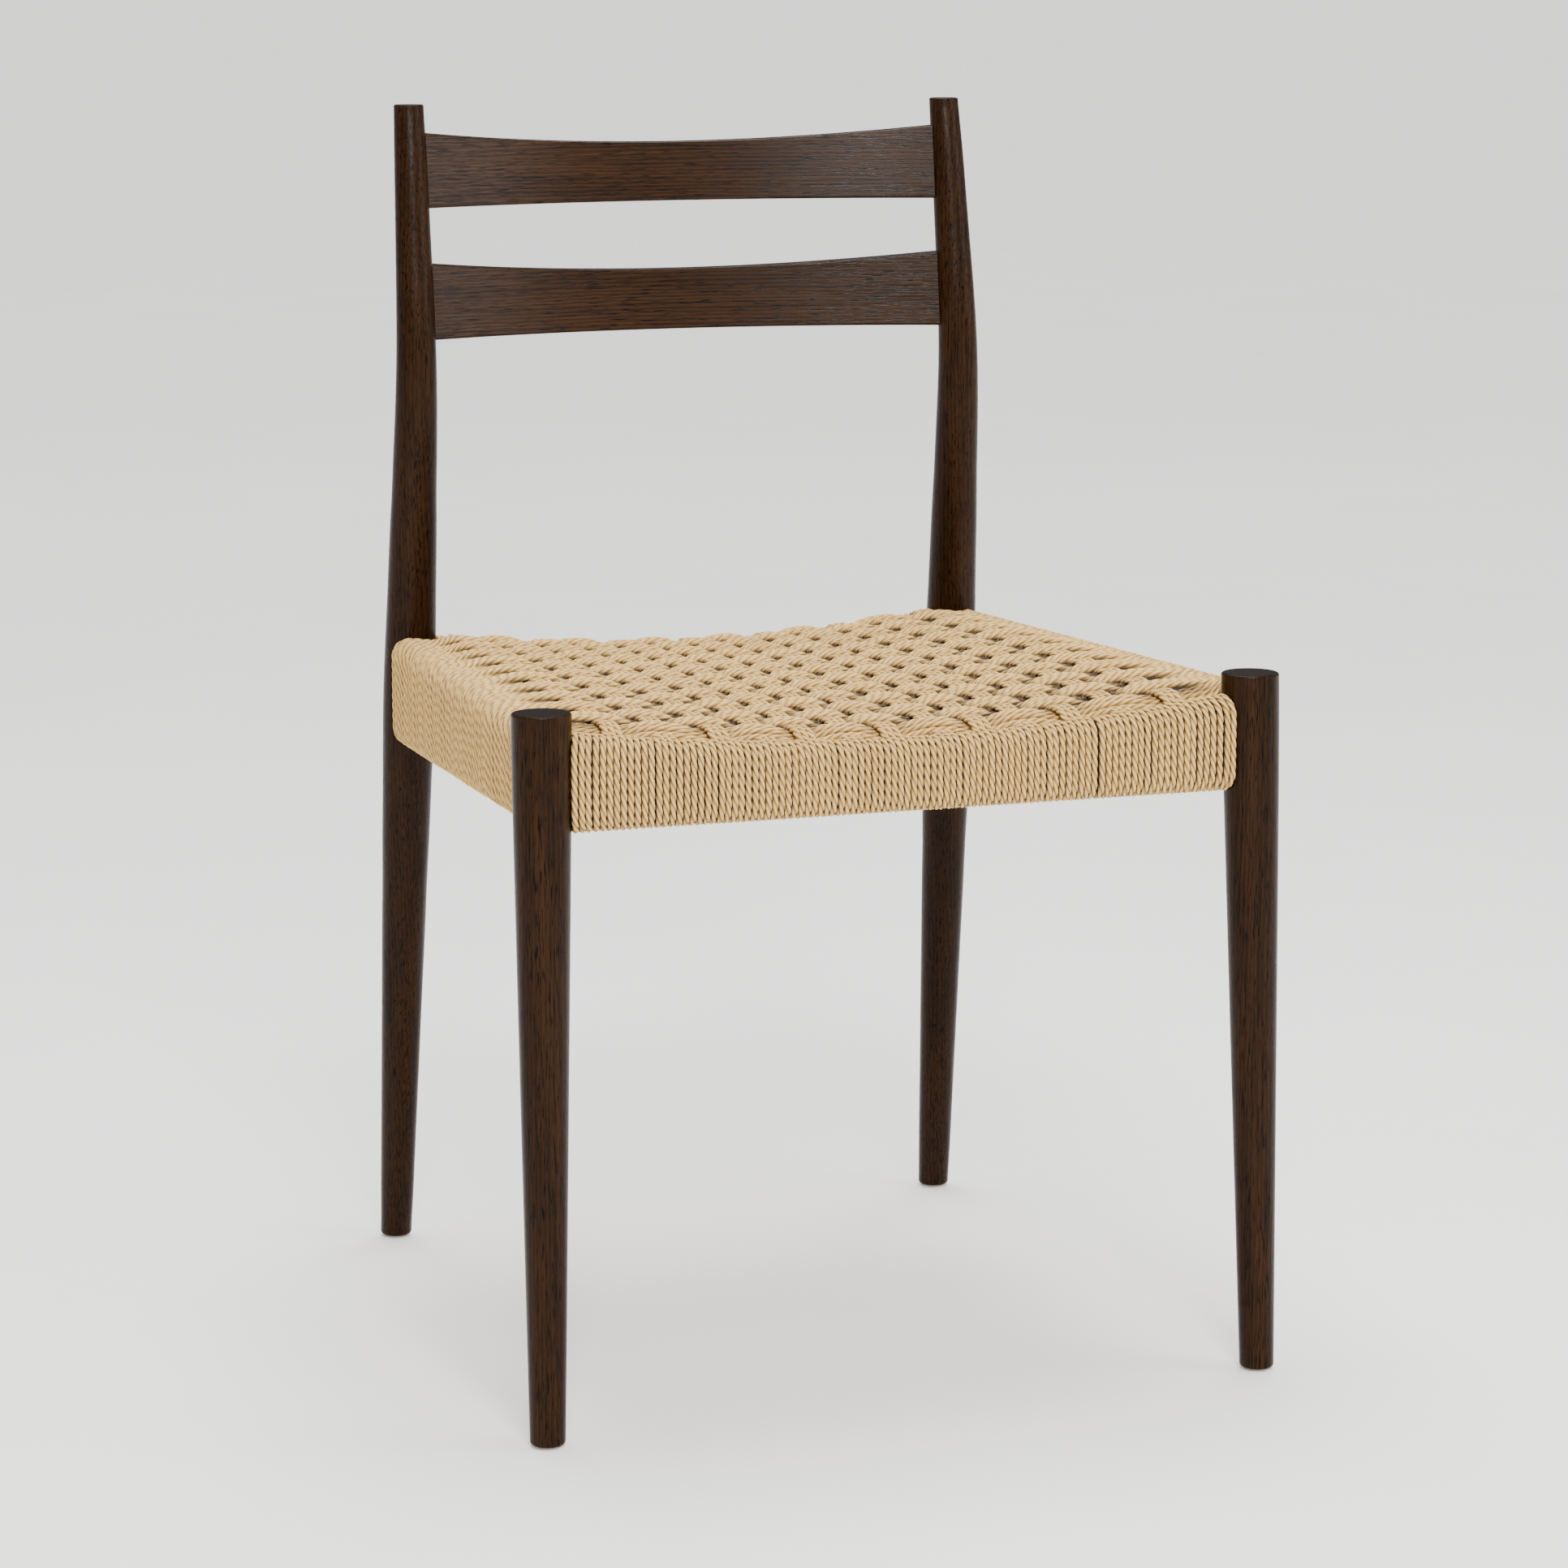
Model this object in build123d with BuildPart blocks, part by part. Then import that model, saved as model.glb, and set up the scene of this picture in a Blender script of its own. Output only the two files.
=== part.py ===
"""Dining chair with a woven paper-cord seat: turned legs, bent back posts and two bent slats.

Frame: millimetres, +Z up, +Y towards the back of the chair, X = 0 midway between the legs,
origin on the floor under the middle of the chair's footprint.
"Left" and "right" are as seen from the front of the chair, so left is at -X.
"""
import os
from math import sqrt

from build123d import *

# ---------------------------------------------------------------- driving dimensions

# Plastic glides under the feet, each nailed on
GLIDE_DIA = 17.0
GLIDE_THICK = 1.5
GLIDE_EDGE = 0.5
GLIDE_NAIL_DIA = 2.4
GLIDE_NAIL_LENGTH = 14.0
GLIDE_HEAD_DIA = 6.0
GLIDE_HEAD_THICK = 0.6

# Front legs: straight, turned, leaning in towards the top
FRONT_FOOT_X = 240.4
FRONT_FOOT_Y = -248.1
FRONT_TOP_X = 235.1
FRONT_TOP_Y = -231.9
FRONT_LEG_TOP = 456.5
FRONT_FOOT_DIA = 22.3
FRONT_TOP_DIA = 37.2
FRONT_STRAIGHT_LENGTH = 26.5

# Back posts: one turned piece from the foot to the top of the back, bent above the seat
BACK_FOOT_X = 206.8
BACK_FOOT_Y = 248.1
BEND_X = 198.6
BEND_Y = 183.7
BEND_HEIGHT = 630.5
BEND_HALF_LENGTH = 45.0
POST_TOP_X = 195.4
POST_TOP_Y = 208.3
POST_TOP = 805.5
BACK_FOOT_DIA = 22.2
BELLY_DIA = 36.8
BELLY_HEIGHT = 401.0
POST_TOP_DIA = 20.8

# Turning: how softly two tapers meet, and the rounded ends
TAPER_SOFTNESS = 0.6
FOOT_EDGE = 2.4
LEG_TOP_EDGE = 1.4
POST_TOP_EDGE = 1.2

# Seat rails: boards standing on edge, wrapped in cord
RAIL_THICK = 17.0
RAIL_EDGE = 6.0
LEG_ABOVE_RAIL = 13.7
FRONT_RAIL_DEPTH = 55.8
FRONT_RAIL_DIP = 18.3
BACK_RAIL_DROP = 4.0
BACK_RAIL_DEPTH = 53.3
BACK_RAIL_DIP = 15.8
SIDE_RAIL_OUTSET = 3.5
SIDE_RAIL_RISE = 1.4
SIDE_RAIL_FALL = 6.5
SIDE_RAIL_DEPTH_FRONT = 54.2
SIDE_RAIL_DEPTH_BACK = 67.2

# Tenons of the rails in the legs
TENON_THICK = 9.0
TENON_SHOULDER = 9.0
TENON_DEPTH = 11.0
MORTISE_END_GAP = 0.8
JOINT_FIT = 0.1

# Paper cord: the wrap on the rails and the woven panel between them
CORD_DIA = 4.0
CORD_GAP = 0.3
PANEL_THICK = 7.6
PANEL_CROWN = 10.5

# Back slats: bent to the rear, hollowed along the top edge, leaning with the posts
SLAT_THICK = 12.0
SLAT_BOW = 41.0
SLAT_DIP = 11.0
SLAT_EDGE = 1.6
UPPER_SLAT_HEIGHT = 52.0
LOWER_SLAT_HEIGHT = 53.0
POST_ABOVE_SLAT = 18.0
SLAT_GAP = 36.0
SLAT_TENON_THICK = 8.0
SLAT_TENON_SHOULDER = 5.0
SLAT_TENON_DEPTH = 9.0

# L-shaped nails that hold the cord on the inner faces of the rails
NAIL_DIA = 2.0
NAIL_GRIP = 11.0
NAIL_STAND_OFF = 3.5
NAIL_TIP = 6.5
NAIL_BEND = 2.0
NAIL_ABOVE_RAIL_BOTTOM = 17.0
NAIL_FIT = 0.05

# Spacing of the woven groups, which the nails follow
WARP_GROUPS = 13
FRONT_WARP_LEFT_MARGIN = 47.6
FRONT_WARP_RIGHT_MARGIN = 51.6
BACK_WARP_LEFT_MARGIN = 34.4
BACK_WARP_RIGHT_MARGIN = 24.4
WARP_CROWDING = 0.06
WARP_DRIFT = 5.0
WEFT_ROWS = 21
WEFT_MARGIN = 27.0

# ---------------------------------------------------------------- shared geometry

SIDES = {"left": -1, "right": 1}
STATION_SPACING = 42.0
END_ALLOWANCE = 8.0
TENON_ROOT = 6.0
CUT_REACH = 300.0


def along(start, end, fraction):
    """Value at a fraction of the way from start to end."""
    return start + (end - start) * fraction


def front_axis(side, height):
    """Point on a front leg's axis at a height above the floor."""
    share = (height - GLIDE_THICK) / (FRONT_LEG_TOP - GLIDE_THICK)
    x = along(FRONT_FOOT_X, FRONT_TOP_X, share)
    y = along(FRONT_FOOT_Y, FRONT_TOP_Y, share)
    return Vector(side * x, y, height)


def bent(foot, bend, top, height):
    """Coordinate of a post's axis: two straight runs joined by a parabola at the bend."""
    low_slope = (bend - foot) / (BEND_HEIGHT - GLIDE_THICK)
    high_slope = (top - bend) / (POST_TOP - BEND_HEIGHT)
    into_bend = height - (BEND_HEIGHT - BEND_HALF_LENGTH)
    into_bend = max(0.0, min(into_bend, 2 * BEND_HALF_LENGTH))
    past_bend = max(0.0, height - (BEND_HEIGHT + BEND_HALF_LENGTH))
    turned = into_bend**2 / (4 * BEND_HALF_LENGTH) + past_bend
    return bend + low_slope * (height - BEND_HEIGHT) + (high_slope - low_slope) * turned


def back_axis(side, height):
    """Point on a back post's axis at a height above the floor."""
    x = bent(BACK_FOOT_X, BEND_X, POST_TOP_X, height)
    y = bent(BACK_FOOT_Y, BEND_Y, POST_TOP_Y, height)
    return Vector(side * x, y, height)


def taper(low_dia, low_height, high_dia, high_height, height):
    """Diameter on a straight taper between two heights."""
    return along(low_dia, high_dia, (height - low_height) / (high_height - low_height))


def soft_lower(first, second):
    """The lower of two diameters, with a soft change from one to the other."""
    return (first + second) / 2 - sqrt(((first - second) / 2) ** 2 + TAPER_SOFTNESS**2)


def front_diameter(height):
    shoulder = FRONT_LEG_TOP - FRONT_STRAIGHT_LENGTH
    rising = taper(FRONT_FOOT_DIA, GLIDE_THICK, FRONT_TOP_DIA, shoulder, height)
    return soft_lower(rising, FRONT_TOP_DIA)


def back_diameter(height):
    rising = taper(BACK_FOOT_DIA, GLIDE_THICK, BELLY_DIA, BELLY_HEIGHT, height)
    falling = taper(BELLY_DIA, BELLY_HEIGHT, POST_TOP_DIA, POST_TOP, height)
    return soft_lower(rising, falling)


def turned_member(axis, diameter, side, top, grow=0.0):
    """Turned leg from the glide to a height, cut level at both ends, grown for clearance cuts."""
    low = GLIDE_THICK - END_ALLOWANCE
    high = top + END_ALLOWANCE
    spans = round((high - low) / STATION_SPACING)
    with BuildPart() as member:
        for index in range(spans + 1):
            height = along(low, high, index / spans)
            lean = axis(side, height + 1) - axis(side, height - 1)
            level = Vector(0, 1, 0).cross(lean)
            with BuildSketch(Plane(origin=axis(side, height), x_dir=level, z_dir=lean)):
                Circle(diameter(height) / 2 + grow)
        loft()
        split(bisect_by=Plane.XY.offset(GLIDE_THICK), keep=Keep.TOP)
        split(bisect_by=Plane.XY.offset(top), keep=Keep.BOTTOM)
    return member.part


# ---------------------------------------------------------------- seat rails


class Rail:
    """Seat rail between two legs, seen from outside: u runs along it, v up, w outwards."""

    def __init__(self, start, end, bottom, top, dip, start_radius, end_radius):
        self.start = Vector(start.X, start.Y, 0)
        run = Vector(end.X, end.Y, 0) - self.start
        self.length = run.length
        self.plane = Plane(origin=self.start, x_dir=run, z_dir=run.cross(Vector(0, 0, 1)))
        self.bottom = bottom
        self.top = top
        self.dip = dip
        self.end_radii = (start_radius, end_radius)

    def profile(self, grow):
        """Points of the side view: bottom left, bottom right, top right, top middle, top left."""
        middle = (self.top[0] + self.top[1]) / 2 - self.dip
        return (
            (0, self.bottom[0] - grow),
            (self.length, self.bottom[1] - grow),
            (self.length, self.top[1] + grow),
            (self.length / 2, middle + grow),
            (0, self.top[0] + grow),
        )

    def body(self, grow=0.0, square_inner_top=False):
        """Board, or its cord-thick outside, with its long edges rounded."""
        low_start, low_end, high_end, high_middle, high_start = self.profile(grow)
        with BuildPart() as board:
            with BuildSketch(self.plane):
                with BuildLine():
                    Line(low_start, low_end)
                    Line(low_end, high_end)
                    if self.dip:
                        ThreePointArc(high_end, high_middle, high_start)
                    else:
                        Line(high_end, high_start)
                    Line(high_start, low_start)
                make_face()
            extrude(amount=RAIL_THICK / 2 + grow, both=True)
            long_edges = ShapeList(
                edge
                for edge in board.edges()
                if self.is_long(edge) and not (square_inner_top and self.is_inner_top(edge))
            )
            fillet(long_edges, RAIL_EDGE + grow)
        return board.part

    def is_long(self, edge):
        return abs(self.plane.to_local_coords(edge.center()).X - self.length / 2) < self.length / 4

    def is_inner_top(self, edge):
        place = self.plane.to_local_coords(edge.center())
        return place.Z < 0 and place.Y > sum(self.bottom + self.top) / 4

    def tenon(self, at_end, fit=0.0, end_gap=0.0):
        """Tenon at the rail's start (0) or end (1), or the mortise that it goes in."""
        radius = self.end_radii[at_end]
        tip = radius - TENON_DEPTH - end_gap
        root = radius + TENON_ROOT
        low = self.bottom[at_end] + TENON_SHOULDER - fit
        high = self.top[at_end] - TENON_SHOULDER + fit
        middle = (tip + root) / 2
        if at_end:
            middle = self.length - middle
        with BuildPart() as block:
            with BuildSketch(self.plane):
                with Locations((middle, (low + high) / 2)):
                    Rectangle(root - tip, high - low)
            extrude(amount=TENON_THICK / 2 + fit, both=True)
        return block.part

    def nail_face(self, u):
        """Plane on the wrap's inner face where a nail stands, facing into the seat."""
        height = along(self.bottom[0], self.bottom[1], u / self.length) + NAIL_ABOVE_RAIL_BOTTOM
        place = self.plane.from_local_coords(Vector(u, height, -RAIL_THICK / 2 - CORD_DIA))
        return Plane(origin=place, x_dir=Vector(0, 0, 1), z_dir=-self.plane.z_dir)


front_top = FRONT_LEG_TOP - LEG_ABOVE_RAIL
front_bottom = front_top - FRONT_RAIL_DEPTH
back_top = front_top - BACK_RAIL_DROP
back_bottom = back_top - BACK_RAIL_DEPTH
side_top_front = front_top + SIDE_RAIL_RISE
side_top_back = side_top_front - SIDE_RAIL_FALL
side_top = (side_top_front, side_top_back)
side_bottom = (side_top_front - SIDE_RAIL_DEPTH_FRONT, side_top_back - SIDE_RAIL_DEPTH_BACK)
joint_height = (front_top + front_bottom) / 2

front_corner = front_axis(1, joint_height)
back_corner = back_axis(1, joint_height)
front_left = Vector(-front_corner.X, front_corner.Y, 0)
front_right = Vector(front_corner.X, front_corner.Y, 0)
back_left = Vector(-back_corner.X, back_corner.Y, 0)
back_right = Vector(back_corner.X, back_corner.Y, 0)
outset = Vector(SIDE_RAIL_OUTSET, 0, 0)
front_radius = front_diameter(joint_height) / 2
back_radius = back_diameter(joint_height) / 2

rails = {
    "front": Rail(
        front_left, front_right, (front_bottom, front_bottom), (front_top, front_top),
        FRONT_RAIL_DIP, front_radius, front_radius,
    ),
    "right": Rail(
        front_right, back_right + outset, side_bottom, side_top, 0, front_radius, back_radius
    ),
    "back": Rail(
        back_right, back_left, (back_bottom, back_bottom), (back_top, back_top),
        BACK_RAIL_DIP, back_radius, back_radius,
    ),
    "left": Rail(
        back_left - outset, front_left, side_bottom[::-1], side_top[::-1], 0,
        back_radius, front_radius,
    ),
}

# Which rail ends (0 start, 1 end) go into which leg
RAIL_ENDS = {
    "front_left": (("front", 0), ("left", 1)),
    "front_right": (("front", 1), ("right", 0)),
    "back_left": (("left", 0), ("back", 1)),
    "back_right": (("right", 1), ("back", 0)),
}


def grown_legs(grow):
    """The four legs grown by a clearance, by the corner where each stands."""
    legs = {}
    for name, side in SIDES.items():
        legs["front_" + name] = turned_member(
            front_axis, front_diameter, side, FRONT_LEG_TOP, grow
        )
        legs["back_" + name] = turned_member(back_axis, back_diameter, side, POST_TOP, grow)
    return legs


# ---------------------------------------------------------------- back slats


class Slat:
    """Back slat bent to the rear between the posts, leaning with them."""

    def __init__(self, bottom, height):
        self.bottom = bottom
        self.height = height
        self.end = back_axis(1, bottom)
        top_end = back_axis(1, bottom + height)
        self.lean = Vector(0, top_end.Y - self.end.Y, height)
        self.post_radius = back_diameter(bottom + height / 2) / 2
        self.bend_radius = (self.end.X**2 + SLAT_BOW**2) / (2 * SLAT_BOW)

    def band(self, bottom, height, thick, half_length):
        """Bent strip of one thickness, with level edges."""
        shift = (bottom - self.bottom) * self.lean.Y / self.lean.Z
        crown = self.end.Y + shift + SLAT_BOW
        with BuildPart() as strip:
            with BuildSketch(Plane.XY.offset(bottom)):
                with Locations((0, crown - self.bend_radius)):
                    Circle(self.bend_radius + thick / 2)
                    Circle(self.bend_radius - thick / 2, mode=Mode.SUBTRACT)
                with Locations((0, crown)):
                    Rectangle(2 * half_length, 4 * SLAT_BOW, mode=Mode.INTERSECT)
            slope_length = height * self.lean.length / self.lean.Z
            extrude(amount=slope_length, dir=self.lean)
        return strip.part

    def tenons(self, fit=0.0, end_gap=0.0):
        """Both tenons, or the mortises that they go in."""
        low = self.bottom + SLAT_TENON_SHOULDER - fit
        height = self.height - 2 * SLAT_TENON_SHOULDER + 2 * fit
        inner = self.end.X - self.post_radius - TENON_ROOT
        tip = self.end.X - self.post_radius + SLAT_TENON_DEPTH + end_gap
        strip = self.band(low, height, SLAT_TENON_THICK + 2 * fit, tip)
        with BuildPart() as pair:
            add(strip)
            with BuildSketch(Plane.XY.offset(self.bottom)):
                with Locations((0, self.end.Y)):
                    Rectangle(2 * inner, 4 * SLAT_BOW)
            extrude(amount=self.height, mode=Mode.SUBTRACT)
        return pair.part

    def body(self, posts):
        """Whole slat: shaped strip fitted to the posts, with its tenons."""
        top = self.bottom + self.height
        dip_radius = (self.end.X**2 + SLAT_DIP**2) / (2 * SLAT_DIP)
        strip = self.band(self.bottom, self.height, SLAT_THICK, self.end.X)
        tenons = self.tenons()
        with BuildPart() as slat:
            add(strip)
            with BuildSketch(Plane.XZ):
                with Locations((0, top - SLAT_DIP + dip_radius)):
                    Circle(dip_radius)
            extrude(amount=CUT_REACH, both=True, mode=Mode.SUBTRACT)
            fillet(slat.edges().filter_by(lambda edge: abs(edge.center().X) < SLAT_BOW), SLAT_EDGE)
            for post in posts:
                add(post, mode=Mode.SUBTRACT)
            add(tenons)
        return slat.part


upper_slat_bottom = POST_TOP - POST_ABOVE_SLAT - UPPER_SLAT_HEIGHT
lower_slat_bottom = upper_slat_bottom - SLAT_GAP - LOWER_SLAT_HEIGHT
slats = {
    "upper": Slat(upper_slat_bottom, UPPER_SLAT_HEIGHT),
    "lower": Slat(lower_slat_bottom, LOWER_SLAT_HEIGHT),
}


# ---------------------------------------------------------------- cord panel and nails


def inner_line(rail):
    """Start and end, in plan, of a rail's wrapped inner face, moved in by the cord gap."""
    inset = Vector(0, 0, -RAIL_THICK / 2 - CORD_DIA - CORD_GAP)
    start = rail.plane.from_local_coords(inset)
    end = rail.plane.from_local_coords(inset + Vector(rail.length, 0, 0))
    return start, end


def plan_crossing(first, second):
    """Point in plan where the inner faces of two rails meet."""
    start, end = inner_line(first)
    other_start, other_end = inner_line(second)
    run = end - start
    other_run = other_end - other_start
    between = other_start - start
    share = (between.X * other_run.Y - between.Y * other_run.X) / (
        run.X * other_run.Y - run.Y * other_run.X
    )
    return start + run * share


def warp_nails(rail, start_margin, end_margin, drift):
    """Places along a front or back rail where its groups are nailed, crowded to the middle."""
    middle = (start_margin + rail.length - end_margin) / 2
    half_span = (rail.length - start_margin - end_margin) / 2
    half = WARP_GROUPS // 2
    places = []
    for count in range(-half, half + 1):
        share = count / half
        eased = share * (1 - WARP_CROWDING) + share**3 * WARP_CROWDING
        places.append(middle + half_span * eased - drift * (1 - share**2))
    return places


def weft_nails(rail):
    """Places along a side rail where its rows are nailed."""
    pitch = (rail.length - 2 * WEFT_MARGIN) / (WEFT_ROWS - 1)
    return [WEFT_MARGIN + pitch * row for row in range(WEFT_ROWS)]


def nail(face, dia):
    """L-shaped nail through the wrap's inner face: grip in the board, stand-off, tip upwards."""
    inside = (0, -CORD_DIA - NAIL_GRIP)
    elbow = (0, NAIL_STAND_OFF)
    tip = (NAIL_TIP, NAIL_STAND_OFF)
    upright = Plane(origin=face.origin, x_dir=face.x_dir, z_dir=face.x_dir.cross(face.z_dir))
    with BuildPart() as wire:
        with BuildLine(upright) as path:
            FilletPolyline(inside, elbow, tip, radius=NAIL_BEND)
        with BuildSketch(Plane(origin=path.line @ 0, z_dir=path.line % 0)):
            Circle(dia / 2)
        sweep()
    return wire.part


def nail_hole(face):
    """Straight hole for a nail's grip, through the wrap and into the board."""
    with BuildPart() as hole:
        with BuildSketch(face.offset(CORD_GAP)):
            Circle(NAIL_DIA / 2 + NAIL_FIT)
        extrude(amount=-(CORD_DIA + NAIL_GRIP + CORD_GAP + MORTISE_END_GAP))
    return hole.part


nail_places = {
    "front": warp_nails(
        rails["front"], FRONT_WARP_LEFT_MARGIN, FRONT_WARP_RIGHT_MARGIN, WARP_DRIFT
    ),
    "back": warp_nails(rails["back"], BACK_WARP_RIGHT_MARGIN, BACK_WARP_LEFT_MARGIN, -WARP_DRIFT),
    "left": weft_nails(rails["left"]),
    "right": weft_nails(rails["right"]),
}
nail_faces = {
    name: [rails[name].nail_face(u) for u in places] for name, places in nail_places.items()
}


def panel_section(y, half_width, edge_top, middle_top):
    """Cross-section of the woven panel: hollowed above and below."""
    edge_low = edge_top - PANEL_THICK
    middle_low = middle_top - PANEL_THICK
    with BuildSketch(Plane.XZ.offset(-y)) as section:
        with BuildLine():
            ThreePointArc((-half_width, edge_top), (0, middle_top), (half_width, edge_top))
            Line((half_width, edge_top), (half_width, edge_low))
            ThreePointArc((half_width, edge_low), (0, middle_low), (-half_width, edge_low))
            Line((-half_width, edge_low), (-half_width, edge_top))
        make_face()
    return section.sketch


# ---------------------------------------------------------------- glides


def foot_places():
    """Centre of each foot on the floor, by corner."""
    places = {}
    for name, side in SIDES.items():
        places["front_" + name] = front_axis(side, GLIDE_THICK)
        places["back_" + name] = back_axis(side, GLIDE_THICK)
    return places


def glide_nail(place, fit=0.0):
    """Nail of a glide, head down, or the hole that it sits in."""
    foot = Plane(origin=(place.X, place.Y, GLIDE_THICK))
    with BuildPart() as pin:
        with BuildSketch(foot):
            Circle(GLIDE_HEAD_DIA / 2 + fit)
        extrude(amount=-GLIDE_HEAD_THICK)
        with BuildSketch(foot):
            Circle(GLIDE_NAIL_DIA / 2 + fit)
        extrude(amount=GLIDE_NAIL_LENGTH + 2 * fit)
    return pin.part


# ---------------------------------------------------------------- the pieces

os.makedirs("parts", exist_ok=True)


def save(part, name):
    part.label = name
    export_step(part, f"parts/{name}.step")


feet = foot_places()
fitted_legs = grown_legs(JOINT_FIT)
cord_clearance = grown_legs(CORD_GAP)
side_clearance = [rails[name].body(grow=CORD_DIA + CORD_GAP) for name in SIDES]

# Legs and posts, with mortises for the rails and slats and a hole for the glide's nail
for corner, ends in RAIL_ENDS.items():
    row, name = corner.split("_")
    side = SIDES[name]
    cuts = [rails[rail].tenon(end, JOINT_FIT, MORTISE_END_GAP) for rail, end in ends]
    cuts.append(glide_nail(feet[corner], NAIL_FIT))
    if row == "front":
        blank = turned_member(front_axis, front_diameter, side, FRONT_LEG_TOP)
        top_edge = LEG_TOP_EDGE
    else:
        blank = turned_member(back_axis, back_diameter, side, POST_TOP)
        top_edge = POST_TOP_EDGE
        cuts += [slat.tenons(JOINT_FIT, MORTISE_END_GAP) for slat in slats.values()]
    with BuildPart() as leg:
        add(blank)
        fillet(leg.edges().group_by(Axis.Z)[0], FOOT_EDGE)
        fillet(leg.edges().group_by(Axis.Z)[-1], top_edge)
        for cut in cuts:
            add(cut, mode=Mode.SUBTRACT)
    save(leg.part, corner + ("_leg" if row == "front" else "_post"))

# Rails with their tenons, and the cord wrapped round each of them
for name, rail in rails.items():
    corners = [corner for corner, ends in RAIL_ENDS.items() if name in dict(ends)]
    holes = [nail_hole(face) for face in nail_faces[name]]
    beside = [] if name in SIDES else side_clearance
    board = rail.body()
    outside = rail.body(grow=CORD_DIA, square_inner_top=True)
    tenons = [rail.tenon(end) for end in (0, 1)]
    with BuildPart() as wood:
        add(board)
        for corner in corners:
            add(fitted_legs[corner], mode=Mode.SUBTRACT)
        for tenon in tenons:
            add(tenon)
        for hole in holes:
            add(hole, mode=Mode.SUBTRACT)
    save(wood.part, name + "_rail")
    with BuildPart() as wrap:
        add(outside)
        add(board, mode=Mode.SUBTRACT)
        for corner in corners:
            add(cord_clearance[corner], mode=Mode.SUBTRACT)
        for neighbour in beside:
            add(neighbour, mode=Mode.SUBTRACT)
        for hole in holes:
            add(hole, mode=Mode.SUBTRACT)
    save(wrap.part, name + "_cord_wrap")

# Woven panel between the wrapped rails
panel_corners = [
    plan_crossing(rails["front"], rails["left"]),
    plan_crossing(rails["front"], rails["right"]),
    plan_crossing(rails["back"], rails["right"]),
    plan_crossing(rails["back"], rails["left"]),
]
panel_front = panel_corners[0].Y
panel_back = panel_corners[2].Y
front_middle = front_top - FRONT_RAIL_DIP + CORD_DIA
back_middle = back_top - BACK_RAIL_DIP + CORD_DIA
sections = [
    panel_section(panel_front, front_right.X, front_top + CORD_DIA, front_middle),
    panel_section(
        (panel_front + panel_back) / 2,
        front_right.X,
        (front_top + back_top) / 2 + CORD_DIA,
        (front_middle + back_middle) / 2 + PANEL_CROWN,
    ),
    panel_section(panel_back, back_right.X, back_top + CORD_DIA, back_middle),
]
with BuildPart() as panel:
    loft(sections=sections)
    with BuildSketch(Plane.XY):
        Polygon(*[(corner.X, corner.Y) for corner in panel_corners], align=None)
    extrude(amount=POST_TOP, mode=Mode.INTERSECT)
    for leg in cord_clearance.values():
        add(leg, mode=Mode.SUBTRACT)
save(panel.part, "woven_seat_panel")

# Nails, one group of separate pieces on each rail
for name, faces in nail_faces.items():
    wires = [nail(face, NAIL_DIA) for face in faces]
    save(Compound(children=wires), name + "_cord_nails")

# Slats
for name, slat in slats.items():
    posts = [fitted_legs["back_left"], fitted_legs["back_right"]]
    save(slat.body(posts), name + "_slat")

# Glides and their nails
for corner, place in feet.items():
    pocket = glide_nail(place, NAIL_FIT)
    with BuildPart() as glide:
        with BuildSketch(Plane(origin=(place.X, place.Y, 0))):
            Circle(GLIDE_DIA / 2)
        extrude(amount=GLIDE_THICK)
        fillet(glide.edges().group_by(Axis.Z)[0], GLIDE_EDGE)
        add(pocket, mode=Mode.SUBTRACT)
    save(glide.part, corner + "_glide")
save(Compound(children=[glide_nail(place) for place in feet.values()]), "glide_nails")
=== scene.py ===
"""Dresses the dining chair in stained wood and hand-woven paper cord, and sets up its studio.

The chair stands on the floor at the origin, its front towards -Y. Lengths are worked out in
millimetres, as a maker would measure them, and turned to metres when a mesh is made.
"Left" is at -X, as seen from the front.
"""

from functools import partial
from math import cos, pi, radians, sin

import bpy
import numpy as np
from bpy.props import FloatProperty, FloatVectorProperty, IntProperty, PointerProperty
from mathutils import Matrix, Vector


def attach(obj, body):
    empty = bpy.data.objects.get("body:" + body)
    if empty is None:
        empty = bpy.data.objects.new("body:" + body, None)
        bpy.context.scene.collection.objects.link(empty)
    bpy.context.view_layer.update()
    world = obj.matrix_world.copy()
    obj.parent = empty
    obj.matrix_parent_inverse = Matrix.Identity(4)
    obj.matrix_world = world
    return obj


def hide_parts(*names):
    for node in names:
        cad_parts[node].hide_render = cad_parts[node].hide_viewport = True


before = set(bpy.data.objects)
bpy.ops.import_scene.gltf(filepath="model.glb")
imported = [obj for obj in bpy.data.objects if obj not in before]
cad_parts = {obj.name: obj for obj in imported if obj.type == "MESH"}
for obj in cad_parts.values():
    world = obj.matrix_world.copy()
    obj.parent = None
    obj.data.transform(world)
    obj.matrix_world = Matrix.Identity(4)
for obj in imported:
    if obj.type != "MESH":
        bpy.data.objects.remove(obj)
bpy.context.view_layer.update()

bl_info = {
    "name": "Woven Cord Dining Chair",
    "version": (1, 0, 0),
    "blender": (4, 5, 0),
    "location": "3D View > Sidebar > Chair",
    "description": "Finishes a turned dining chair and winds its paper-cord seat",
    "category": "Add Mesh",
}

MM = 0.001

# -------- sizes of the seat, its weave and its rails

# Where the leg axes cross the rails, in plan
FRONT_CORNER = (235.6, -233.4)
BACK_CORNER = (201.4, 205.8)
SIDE_BACK_X = 204.9
SEAT_DEPTH = BACK_CORNER[1] - FRONT_CORNER[1]
LEG_RADIUS = 18.1
POST_RADIUS = 17.9

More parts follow.
